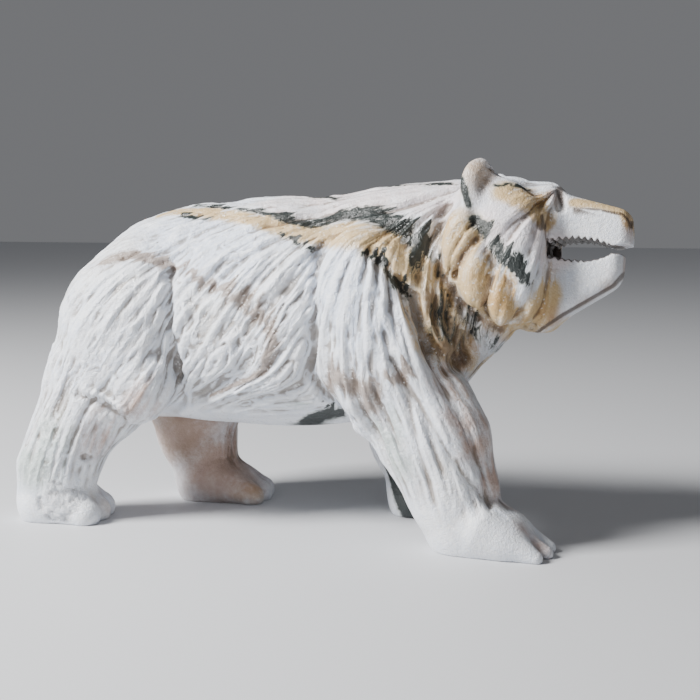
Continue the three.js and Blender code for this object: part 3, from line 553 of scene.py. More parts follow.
# Which way the strands lie at places on the side of the bear: x, z, along, down, how far each holds sway,
# and how deep its grooves are
COMB = [
    (-85, 85, -0.8, 0.8, 16, 1),
    (-95, 60, -0.4, 1, 16, 1.1),
    (-68, 85, -0.7, 0.8, 18, 0.8),
    (-66, 62, -0.6, 1, 16, 0.8),
    (-66, 50, -0.8, 0.7, 12, 1),
    (-85, 35, -0.35, 1, 14, 0.8),
    (-95, 15, -0.2, 1, 12, 0.8),
    (-53, 24, 0, 1, 12, 0.3),
    (-35, 85, -0.8, 0.9, 16, 0.9),
    (-30, 65, -0.6, 1, 14, 1.2),
    (-8, 72, -0.75, 1, 14, 1.3),
    (-25, 48, -0.9, 0.6, 12, 1.2),
    (-10, 38, -1, 0.1, 10, 1),
    (-60, 102, -1, 0.6, 12, 0.5),
    (-30, 106, -1, 0.4, 12, 0.6),
    (0, 108, -1, 0.3, 12, 0.6),
    (4, 92, -0.7, 1, 12, 1),
    (25, 112, -1, 0.35, 12, 0.7),
    (22, 85, -0.15, 1, 12, 0.9),
    (22, 62, -0.05, 1, 12, 1.1),
    (40, 96, -0.35, 1, 10, 1.5),
    (46, 80, -0.1, 1, 8, 1.8),
    (36, 66, 0.3, 1, 10, 1.5),
    (45, 45, 0.5, 1, 14, 1.6),
    (56, 25, 0.3, 1, 14, 1),
    (50, 112, -0.8, 0.5, 10, 0.7),
    (56, 94, -0.5, 1, 9, 0.4),
    (63, 82, -0.2, 1, 7, 0.4),
    (68, 112, -0.8, 0.4, 8, 0.5),
    (74, 100, -0.6, 1, 10, 0.6),
    (74, 82, -0.35, 1, 10, 0.7),
]


def strand_guides(points):
    """Which way the strands lie at points, and how deep their grooves are."""
    along = 0
    down = 0
    depth = 0
    total = 0
    for x, z, a, d, sway, deep in COMB:
        away = ((points[:, 0] - x) ** 2 + (points[:, 2] - z) ** 2) / sway ** 2
        pull = np.exp(-away) + 1e-4 / (1 + away)
        along = along + pull * a / math.hypot(a, d)
        down = down + pull * d / math.hypot(a, d)
        depth = depth + pull * deep
        total = total + pull
    way = np.stack([along, np.zeros_like(along), -down], 1)
    return way / np.linalg.norm(way, axis=1, keepdims=True), depth / total


class Combing:
    def __init__(self, coarse, step):
        self.step = step
        axes = [LOW[n] + step * np.arange(coarse.shape[n]) for n in range(3)]
        places = np.stack(np.meshgrid(*axes, indexing="ij"), -1).reshape(-1, 3)
        slope = np.stack(np.gradient(coarse), -1).reshape(-1, 3)
        slope /= np.maximum(np.linalg.norm(slope, axis=1, keepdims=True), 1e-6)
        way = strand_guides(places)[0]
        way -= slope * (way * slope).sum(1, keepdims=True)
        way /= np.maximum(np.linalg.norm(way, axis=1, keepdims=True), 0.2)
        self.grid = way.reshape(*coarse.shape, 3).astype(np.float32)

    def value(self, points, size, length, steps=12):
        """Noise drawn out along the strands, so that each lock has its own value from end to end."""
        stride = length / 2 / steps
        total = noise(points / size)
        for sense in (-1, 1):
            spot = points.copy()
            for _ in range(steps):
                spot += sense * stride * look_up(self.grid, LOW, self.step, spot)
                total = total + noise(spot / size)
        value = total / (2 * steps + 1)
        return (value - value.mean()) / value.std()


# Size across and length of the locks and strands: on the body, on the fore part and on the rump,
# then the strands on each lock, and the strands and hairs that the colours follow
LOCKS = (5, 26)
FLOWING_LOCKS = (4.6, 60, 16)
RUMP_LOCKS = (4.6, 15)
STRANDS = (2.3, 24)
THIN_STRANDS = (1.3, 14)
LOCK_DEPTH = 0.45
STRAND_DEPTH = 0.3
THIN_DEPTH = 0.1
COLOUR_STRANDS = (2.6, 30)
COLOUR_HAIRS = (1.1, 24)


def ramp(value, start, end):
    """0 up to the start, 1 from the end, and smooth between."""
    t = np.clip((value - start) / (end - start), 0, 1)
    return t * t * (3 - 2 * t)


def fur_cover(points):
    """1 where the stone is carved as fur, 0 on the muzzle, toes, ears and belly."""
    x, y, z = points.T
    muzzle = 1 - ramp(x, FACE_FRONT - 3, FACE_FRONT + 1)
    toes = ramp(z, 8, 20)
    inside = ramp(np.abs(y), 12, 20)
    below = ramp(z, 38, 48)
    ear = np.hypot(x - EAR[0], z - EAR[2] - 3) / 11
    on_ear = ramp(np.abs(y), 12, 15) * (1 - ramp(ear, 0.8, 1.1))
    return muzzle * toes * np.maximum(inside, below) * (1 - on_ear)


def groove(value, sharp):
    """Rounded crests with a sharper groove between them."""
    return (1 - np.exp(-sharp * np.clip(value, -2, 2))) / sharp


def overlap(value):
    """Shingled locks: each rises slowly from under the one before and ends in a steep edge."""
    part = value - np.floor(value)
    return np.minimum(part / 0.78, (1 - part) / 0.22) - 0.5


def along_line(points, line):
    """How far places seen from the side are from a line of x and z, and how far along it they lie."""
    nearest = np.full(len(points), FAR_OFF)
    reached = np.zeros(len(points))
    done = 0
    for a, b, t, off_x, off_z in stretches(points[:, 0], points[:, 2], line):
        length = math.hypot(b[0] - a[0], b[1] - a[1])
        away = np.hypot(off_x, off_z)
        reached = np.where(away < nearest, done + t * length, reached)
        nearest = np.minimum(nearest, away)
        done += length
    return nearest, reached


def chipped_share(points):
    """Where the outer side of the right hind foot is broken away to rough, glittering crystal."""
    away = np.hypot((points[:, 0] - CHIP[0]) / CHIP[2], (points[:, 2] - CHIP[1]) / CHIP[3])
    edge = away + 0.5 * (noise(points / 3) - 0.5)
    return (1 - ramp(edge, 0.8, 1)) * (points[:, 1] < -24)


def carve_fur(points, normals, comb):
    """Moves each point out or in for the locks, strands, folds, beads, pit and chipped patch."""
    cover = fur_cover(points)
    deep = strand_guides(points)[1]
    x, y, z = points.T
    right = y < RIGHT_SIDE
    flowing = ramp(x, 5, 14)
    sleek = ramp(x, 28, 40) * (1 - ramp(z, 56, 70)) * (y < 0)
    rump = 1 - ramp(x, -62, -45)
    locks = (1 - flowing) * comb.value(points, *LOCKS) + flowing * comb.value(points, *FLOWING_LOCKS)
    locks += rump * (comb.value(points, *RUMP_LOCKS) - locks)
    depth = LOCK_DEPTH * groove(locks, 0.5) + LOCK_DEPTH * (1 - 0.8 * flowing) * overlap(0.7 * locks)
    depth *= deep * (1 - 0.6 * sleek) * (1 - 0.2 * rump)
    strands = comb.value(points, *STRANDS)
    fine = STRAND_DEPTH * groove(strands, 0.5) + 0.25 * (1 - 0.6 * flowing) * overlap(0.6 * strands)
    fine += THIN_DEPTH * groove(comb.value(points, *THIN_STRANDS), 0.4)
    depth += fine * np.clip(deep, 0.9, 1.1) * (1 - 0.55 * sleek) * (1 - 0.35 * rump)
    depth *= cover
    for line in FOLDS:
        away = along_line(points, line)[0] / FOLD_HALF_WIDTH
        depth -= (y < -18) * FOLD_DEPTH * np.exp(-away ** 2) * ramp(z, 12, 20)
    away, reached = along_line(points, BEAD_LINE)
    beads = np.abs(np.cos(reached * math.pi / BEAD_PITCH)) * np.exp(-(away / BEAD_HALF_WIDTH) ** 2)
    depth += right * BEAD_HEIGHT * beads
    pit = np.hypot(x - PIT[0], z - PIT[1]) / PIT[2]
    depth -= right * PIT_DEPTH * np.exp(-pit ** 4)
    chip = chipped_share(points)
    facets = np.floor(4 * noise(points / 2.2)) / 4 + 0.5 * noise(points / 0.9)
    depth = depth * (1 - chip) - chip * (0.2 + 0.8 * facets)
    return points + normals * depth[:, None]


def build_mesh(name, points, quads):
    """A mesh of four-sided faces."""
    mesh = bpy.data.meshes.new(name)
    mesh.vertices.add(len(points))
    mesh.vertices.foreach_set("co", points.astype(np.float32).ravel())
    mesh.loops.add(quads.size)
    mesh.loops.foreach_set("vertex_index", quads.astype(np.int32).ravel())
    mesh.polygons.add(len(quads))
    mesh.polygons.foreach_set("loop_start", np.arange(0, quads.size, 4, dtype=np.int32))
    mesh.update(calc_edges=True)
    mesh.validate()
    return mesh


def make_bear():
    """The carved bear as one closed mesh, and the combing that its colours follow too."""
    coarse, step, samples = sample_form()
    points, quads = wrap_surface(samples)
    normals = normals_at(samples, LOW, CELL, points)
    comb = Combing(coarse, step)
    points = carve_fur(points, normals, comb)
    points[:, 2] = np.maximum(points[:, 2], 0)
    points[points[:, 2] < SOLE_FLATTENING, 2] = 0
    mesh = build_mesh("bear_carving", (points - MIDDLE) * UNIT, quads)
    bear = bpy.data.objects.new("bear_carving", mesh)
    bpy.context.scene.collection.objects.link(bear)
    triangles = 2 * len(mesh.polygons)
    if triangles > MOST_TRIANGLES:
        thin = bear.modifiers.new("thin", "DECIMATE")
        thin.ratio = MOST_TRIANGLES / triangles
        shown = bear.evaluated_get(bpy.context.evaluated_depsgraph_get())
        bear.data = bpy.data.meshes.new_from_object(shown)
        bear.modifiers.clear()
    bear.data.shade_smooth()
    return bear, comb


# The stone's coloured layers run through the block, so each is drawn where it crosses the plane 24 units to
# the bear's right, as x, z and half its width, and follows this slant through to the other side
LAYER_Y = -24
LAYER_FORWARD = 0.12
LAYER_DOWN = 0.3
DARK_VEINS = [
    [(-46.9, 115.6, 0.5), (-39.1, 115.2, 0.5), (-25.8, 112.3, 0.6), (-19.7, 111.7, 0.7), (-11.3, 109.3, 1),
     (-4.4, 106.9, 1.3), (2.2, 105.7, 1.3), (6.7, 106.9, 1.4), (11.2, 109.6, 1.6), (19, 109.8, 2),
     (25.9, 108.2, 2.3), (31.1, 105.6, 2.5), (35.7, 104, 2.6), (39.1, 101.1, 2.5), (42.6, 97.6, 2),
     (45.5, 96.2, 1.4)],
    [(-49.9, 110.8, 0.6), (-43, 109.2, 0.7), (-36.6, 108.1, 0.5)],
    [(-6.6, 101.4, 0.6), (-3.5, 100, 0.6), (0.5, 98.6, 0.7), (4.7, 96.1, 0.7)],
    [(24.9, 93.8, 0.6), (28.4, 92.6, 0.8), (31.9, 89.8, 0.8), (33.3, 87.6, 0.9), (35.1, 85, 1.1),
     (37.5, 82.4, 1)],
    [(58.1, 107, 1.3), (62.5, 102.5, 1.8), (65.7, 98.5, 2), (69.2, 93.6, 2), (73.4, 89, 1.8),
     (75.1, 87, 1.2)],
    [(-3.8, 119.2, 0.5), (1.4, 118.9, 0.7), (6.4, 117.3, 0.6)],
    [(18.9, 123.9, 0.5), (22.7, 123.2, 0.5), (32.6, 123.2, 0.5), (36.7, 122.7, 0.6), (45.9, 122, 0.5)],
    [(63.5, 118.6, 0.4), (67.1, 119.5, 0.5), (70.2, 119.4, 0.5), (72.8, 118.9, 0.4)],
    [(53.1, 119.8, 0.9), (54.5, 116.3, 1), (56, 111.2, 0.8)],
    [(-14, 37.6, 0.4), (-5.5, 39.8, 0.6), (3.5, 42.6, 0.9), (10.9, 44.3, 1)],
]
FAINT_VEINS = [
    [(39, 97, 2), (42.9, 89, 3), (45.5, 80, 3.5), (48.5, 70, 3)],
    [(53, 79, 2), (57, 73, 2.5), (60, 70, 2)],
]
# The dark vein down the left fore paw, which lies apart from the layers
PAW_VEIN = [(20, 19, 1), (24, 10, 1.8), (29, 2, 2.5)]
TAN_LAYERS = [
    [(-59, 111.8, 1.3), (-51.1, 112.7, 1.5), (-43, 112.2, 1.7), (-24.9, 108.8, 2), (-3.6, 103, 2.6),
     (4.8, 101.6, 3), (13.8, 101.5, 4), (23.9, 99.9, 4.5), (32.1, 97.4, 5), (35.1, 93.4, 4),
     (37.7, 88.7, 3.5)],
    [(52.9, 101, 7), (55.9, 91.9, 7), (61, 84, 6), (65.3, 78.8, 5)],
    [(85.8, 115.9, 1.5), (93.2, 115.8, 1.5), (100.7, 114, 1.5), (102.5, 109.8, 1)],
    [(80.8, 86.7, 2.5), (78.2, 78.9, 3), (70.3, 76.6, 3)],
    [(66.4, 116.4, 3), (71.4, 115.3, 3.5), (76.1, 113.2, 3), (78.2, 108.4, 2)],
    [(41.9, 93.4, 4), (44.9, 83.7, 5), (47.7, 74.5, 5), (49.3, 67.5, 5)],
]
BROWN_STAINS = [
    [(-69, 90.5, 1.3), (-61, 92.9, 1.8), (-57.2, 92.6, 1.6), (-53.9, 91.5, 1.2), (-49.2, 91.2, 1.6),
     (-41.7, 88.6, 0.7), (-34.8, 85.7, 1), (-29.8, 83.3, 1.2), (-23.1, 81.2, 1.8), (-17.9, 79.1, 2.6),
     (-12.5, 75.9, 2.4), (-7, 71, 1.8), (-4.5, 64.8, 1.5), (-9.8, 55.4, 1), (-16.1, 52.1, 0.6),
     (-32.5, 47.4, 0.5)],
    [(12.3, 51.2, 2), (16.4, 54.1, 2.4), (22.2, 50.8, 2.2), (29.9, 48.8, 2.6), (28.2, 44.5, 2)],
    [(37, 53.1, 1.8), (42.7, 55.5, 1.5)],
    [(44.9, 83.7, 2), (48.7, 74.5, 2.4), (50.3, 65.5, 2.4)],
]
# Painted shade that lies alike on both sides of the head: in the eye's crease, the nostril, below the
# bridge of the nose and along the lower edge of the jaw, with a dark mark on the cheek above the mouth's
# corner
FACE_SHADE_AND_MARKS = [
    [(82.2, 118.5, 0.6), (82.9, 114, 0.9), (84, 109.5, 0.6)],
    [(105, 104.5, 0.5), (105, 103, 0.5)],
    [(78.6, 107, 0.4), (79, 103, 0.8)],
    [(86, 109, 0.3), (95.7, 108.4, 0.35), (102.5, 107.2, 0.4), (104.2, 105.5, 0.4)],
    [(103.4, 88.5, 0.5), (100.5, 84.8, 0.5), (94, 80.8, 0.5), (85, 75.3, 0.5), (75.5, 68.5, 0.4)],
]
# Painted shade along the valleys around the ruff's tufts, on both sides: x, z and half its width
TUFT_EDGE_SHADE = [
    [(59, 99, 0.8), (55.5, 94, 0.9), (52, 88, 0.9)],
    [(64.5, 87, 0.7), (63, 81, 0.9), (62, 75, 0.9)],
    [(47, 104, 0.5), (46, 97, 0.7), (48, 88, 0.9), (53, 80, 1), (59, 74, 1), (66, 69.5, 0.8)],
]
# Soft patches of colour and of painted shade, mostly on the right side: x, y, z, size and strength
OCHRE_PATCHES = [
    (57, -17, 119, 8, 0.8), (78, -10, 112, 5, 0.7), (79, -12, 104, 4, 0.6), (81, -14, 96, 4, 0.6),
    (81, -15, 88, 5, 0.7), (79, -14, 78, 6, 0.7), (68, -22, 80, 6, 0.7), (72, -18, 75, 6, 0.7),
    (44, -25, 66, 6, 0.45), (50, -25, 57, 6, 0.5), (55, -25, 50, 6, 0.4), (52, -22, 104, 6, 0.5),
    (57, -22, 96, 6, 0.5), (61, -23, 88, 6, 0.6), (-36, 14, 4, 6, 0.6), (-31, 16, 5, 6, 0.8),
    (-72, -22, 4, 6, 0.4), (46, -22, 80, 8, 0.6), (98, -8, 88, 8, 0.3), (76, -17, 100, 5, 0.35),
]
# Rust-coloured stains, and painted shade on the far hind leg, under the right knee, down the right hind leg
# and along the underside of the jaw
RUST_AND_SHADE_PATCHES = [
    (58, -24, 52, 6, 0.4), (64, -22, 42, 7, 0.6), (67, -17, 32, 7, 0.7), (68, -15, 22, 7, 0.7),
    (70, -16, 14, 6, 0.6), (52, -28, 55, 7, 0.6), (58, -29, 44, 7, 0.7), (62, -27, 34, 7, 0.8),
    (66, -23, 22, 7, 0.8), (77, -27, 9, 5, 0.6), (81, -25, 4, 5, 0.6), (104, 0, 91, 6, 0.8),
    (100, -7, 84, 4, 0.5), (92, -8, 79, 5, 0.6), (83, -10, 74, 6, 0.6), (105, -3, 102, 5, 0.7),
    (60, -10, 71, 6, 0.5), (66, -6, 68, 6, 0.5), (57, -10, 64, 6, 0.5), (52, -10, 58, 6, 0.5),
    (82, -8, 113, 4, 0.7), (-58, 12, 28, 20, 1), (-46, 18, 14, 20, 1), (-54, -30, 44, 9, 0.6),
    (-72, -28, 29, 10, 0.5), (-70, -30, 38, 7, 0.35), (-86, -34, 40, 9, 0.3),
]
MOSS_PATCHES = [
    (-93, -34, 20, 10, 0.9), (-88, -33, 31, 10, 0.7), (33, -32, 37, 8, 0.8), (38, -31, 28, 8, 0.7),
    (-15, -26, 42, 6, 0.6), (-2, -24, 42, 6, 0.7),
]
# Painted shade on the far hind leg, which lies under the belly, and under the right knee
SHADE_PATCHES = [
    (-60, 14, 38, 16, 0.9), (-56, 18, 24, 12, 0.9), (-44, 20, 12, 10, 0.5), (-58, -26, 41, 6, 0.6),
]
# The chipped patch as x, z, half its length and height, the pit on the shank as x, z and radius,
# and the row of beads above it
CHIP = (-83, 7.5, 7.5, 8)
PIT = (-75, 23.5, 1.6)
PIT_DEPTH = 0.9
RIGHT_SIDE = -15
BEAD_LINE = [(-79, 46.9), (-74.6, 45.8), (-68.4, 44.4), (-61.8, 42.8), (-57.2, 41)]
BEAD_PITCH = 1.7
BEAD_HEIGHT = 0.45
BEAD_HALF_WIDTH = 0.8
# Long folds that sweep down the front of the right fore leg
FOLDS = [
    [(33, 70), (35.6, 62.4), (41.9, 52), (50.1, 39.5), (57.4, 28.6), (65.2, 18.7), (70.6, 13.9)],
    [(44, 68), (48.1, 58.4), (55.2, 46.1), (61.1, 34.9), (64.9, 25.2), (67.4, 16.7)],
    [(36, 62), (41, 48.8), (44.6, 33.6), (47.6, 23.9), (49.3, 14.7)],
]
FOLD_DEPTH = 1.1
FOLD_HALF_WIDTH = 1.5
PINK_CLOUDS = [
    [(-9.5, 115.8, 6), (8.9, 115, 5), (25.7, 118, 6), (43.6, 116.5, 6)],
    [(70, 105, 8), (80, 100, 5)],
]
BLUE_CLOUDS = [[(12.2, 91.7, 8), (20.5, 81, 9), (27, 71.1, 8)], [(-45, 100, 10), (-20, 92, 8)]]


def layer_share(x, z, layers):
    """How deep in the nearest coloured layer points lie: 1 on its middle line, 0 well outside it."""
    most = np.zeros(len(x), np.float32)
    for layer in layers:
        for a, b, t, off_x, off_z in stretches(x, z, layer):
            away = np.hypot(off_x, off_z) / (a[2] + (b[2] - a[2]) * t)
            most = np.maximum(most, np.clip(1.5 - away * 0.75, 0, 1))
    return most


def patch_share(points, patches):
    """How strongly soft round patches colour each point."""
    most = np.zeros(len(points), np.float32)
    for x, y, z, size, strength in patches:
        away = ((points - (x, y, z)) ** 2).sum(1) / size ** 2
        most = np.maximum(most, strength * np.exp(-away))
    return most


def mouth_share(points):
    """1 on the surfaces between the jaws, fading over their edges."""
    return 1 - ramp(mouth_field(level_head(points.T)), 0.1, 0.6)


def hollowness(mesh, points, normals, rounds):
    """How far each place lies below what surrounds it, in units."""
    edges = np.empty(2 * len(mesh.edges), np.int32)
    mesh.edges.foreach_get("vertices", edges)
    start, end = edges.reshape(-1, 2).T
    count = np.bincount(start, minlength=len(points)) + np.bincount(end, minlength=len(points))
    spread = points.copy()
    for _ in range(rounds):
        total = np.zeros_like(spread)
        for axis in range(3):
            total[:, axis] = np.bincount(start, spread[end, axis], len(points))
            total[:, axis] += np.bincount(end, spread[start, axis], len(points))
        spread = 0.5 * spread + 0.5 * total / np.maximum(count, 1)[:, None]
    return ((spread - points) * normals).sum(1)


def colour_stone(bear, comb):
    """Stores on each vertex how much of each colour the stone has there, and where shade and highlight are
    painted.
    """
    mesh = bear.data
    points = np.empty(3 * len(mesh.vertices), np.float32)
    mesh.vertices.foreach_get("co", points)
    normals = np.empty(3 * len(mesh.vertices), np.float32)
    mesh.vertex_normals.foreach_get("vector", normals)
    points = points.reshape(-1, 3) / UNIT + MIDDLE
    normals = normals.reshape(-1, 3)
    strand = comb.value(points, *COLOUR_STRANDS)
    hair = comb.value(points, *COLOUR_HAIRS)
    fur = np.clip(fur_cover(points) * strand_guides(points)[1], 0, 1.3)
    pull = (0.3 * strand + 1.3 * hair)[:, None] * look_up(comb.grid, LOW, comb.step, points)
    spot = points + pull * fur_cover(points)[:, None]
    x = spot[:, 0] - (spot[:, 1] - LAYER_Y) * LAYER_FORWARD
    z = spot[:, 2] + (spot[:, 1] - LAYER_Y) * LAYER_DOWN
    cavity = hollowness(mesh, points, normals, 10)
    on_paw = (np.abs(points[:, 0] - 28) < 12) & (points[:, 1] > 5)
    paw_vein = on_paw * layer_share(spot[:, 0], spot[:, 2], [PAW_VEIN])
    dark = np.maximum(layer_share(x, z, DARK_VEINS), 0.42 * layer_share(x, z, FAINT_VEINS))
    dark = np.maximum(dark, paw_vein)
    # Painted shade in the face's creases and holes and between the jaws, and the dark mark on the cheek
    shade_and_marks = np.maximum(layer_share(points[:, 0], points[:, 2], FACE_SHADE_AND_MARKS), mouth_share(points))
    tuft_edge_shade = layer_share(points[:, 0], points[:, 2], TUFT_EDGE_SHADE)
    # Brown stains, with painted shade along the tufts' valleys, on the far hind leg and under the right
    # knee
    brown = np.maximum(layer_share(x, z, BROWN_STAINS), 0.8 * tuft_edge_shade)
    brown = np.maximum(brown, patch_share(spot, SHADE_PATCHES))
    # The rust tints hold painted shade as well
    tints = [patch_share(spot, patches) for patches in (OCHRE_PATCHES, RUST_AND_SHADE_PATCHES, MOSS_PATCHES)]
    store(mesh, "stains_and_shade", [dark, layer_share(x, z, TAN_LAYERS), brown])
    store(mesh, "clouds", [layer_share(x, z, PINK_CLOUDS), layer_share(x, z, BLUE_CLOUDS), shade_and_marks])
    store(mesh, "tints", tints)
    # How hollow each place is, which the material turns into painted shade in hollows and a painted
    # highlight on crests; how deep the fur is; and the chipped patch
    store(mesh, "relief", [np.clip(cavity * 1.6 + 0.5, 0, 1), fur, chipped_share(points)])
    store(mesh, "strands", [0.5 + 0.2 * strand, 0.5 + 0.2 * hair, fur_cover(points)])


def store(mesh, name, channels):
    """Keeps three values for each vertex, for the material to read."""
    colours = np.ones((len(channels[0]), 4), np.float32)
    colours[:, :3] = np.stack(channels, 1)
    mesh.attributes.new(name, "FLOAT_COLOR", "POINT").data.foreach_set("color", colours.ravel())


class Nodes:
    """Short ways to add the nodes of one material."""

    def __init__(self, material):
        material.use_nodes = True
        self.tree = material.node_tree
        self.shader = self.tree.nodes["Principled BSDF"]

    def add(self, kind, **settings):
        node = self.tree.nodes.new("ShaderNode" + kind)
        for name, value in settings.items():
            setattr(node, name, value)
        return node

    def link(self, source, target):
        self.tree.links.new(source, target)

    def plug(self, target, value):
        if isinstance(value, (int, float, tuple)):
            target.default_value = value
        else:
            self.link(value, target)

    def channels(self, name):
        """The three values that each vertex keeps under a name."""
        colour = self.add("Attribute", attribute_name=name)
        split = self.add("SeparateColor")
        self.link(colour.outputs["Color"], split.inputs["Color"])
        return split.outputs["Red"], split.outputs["Green"], split.outputs["Blue"]

    def maths(self, operation, a, b=0.0):
        node = self.add("Math", operation=operation)
        self.plug(node.inputs[0], a)
        self.plug(node.inputs[1], b)
        return node.outputs[0]

    def noise(self, place, size, detail=3, rough=0.6):
        node = self.add("TexNoise")
        self.link(place, node.inputs["Vector"])
        node.inputs["Scale"].default_value = 1 / (size * UNIT)
        node.inputs["Detail"].default_value = detail
        node.inputs["Roughness"].default_value = rough
        return node.outputs["Fac"]

    def step(self, value, low, high, to_low=0.0, to_high=1.0):
        node = self.add("MapRange", interpolation_type="SMOOTHSTEP")
        self.plug(node.inputs["Value"], value)
        node.inputs["From Min"].default_value = low
        node.inputs["From Max"].default_value = high
        node.inputs["To Min"].default_value = to_low
        node.inputs["To Max"].default_value = to_high
        return node.outputs["Result"]

    def mix(self, share, a, b, blend="MIX"):
        node = self.add("Mix", data_type="RGBA", blend_type=blend)
        self.plug(node.inputs[0], share)
        self.plug(node.inputs[6], a)
        self.plug(node.inputs[7], b)
        return node.outputs[2]


# Colours of the stone, and of the shade, highlights and glints painted on it
WHITE = (0.78, 0.81, 0.86, 1)
CREAM = (0.78, 0.75, 0.69, 1)
BLUISH = (0.62, 0.69, 0.82, 1)
PINK = (0.78, 0.65, 0.63, 1)
TAN = (0.58, 0.385, 0.13, 1)
BROWN = (0.22, 0.145, 0.09, 1)
DARK = (0.012, 0.018, 0.017, 1)
GREY_GREEN = (0.17, 0.18, 0.14, 1)
OCHRE = (0.46, 0.26, 0.08, 1)
RUST_AND_SHADE = (0.40, 0.22, 0.13, 1)
MOSS = (0.34, 0.41, 0.36, 1)
UMBER_SHADE = (0.07, 0.045, 0.03, 1)
PAINTED_SHADE = (0.46, 0.41, 0.36, 1)
PAINTED_GLINT = (0.95, 0.95, 0.96, 1)
CREST_HIGHLIGHT = (0.90, 0.92, 0.95, 1)
CHIPPED = (0.55, 0.57, 0.60, 1)

# Size of the stone's clouds, patches, grain, specks and crystals, and how deep the finest grain is
CLOUD_SIZE = 38
PATCH_SIZE = 9
GRAIN_SIZE = 1.5
SPECK_SIZE = 0.5
CRYSTAL_SIZE = 0.55
GRAIN_DEPTH = 0.35


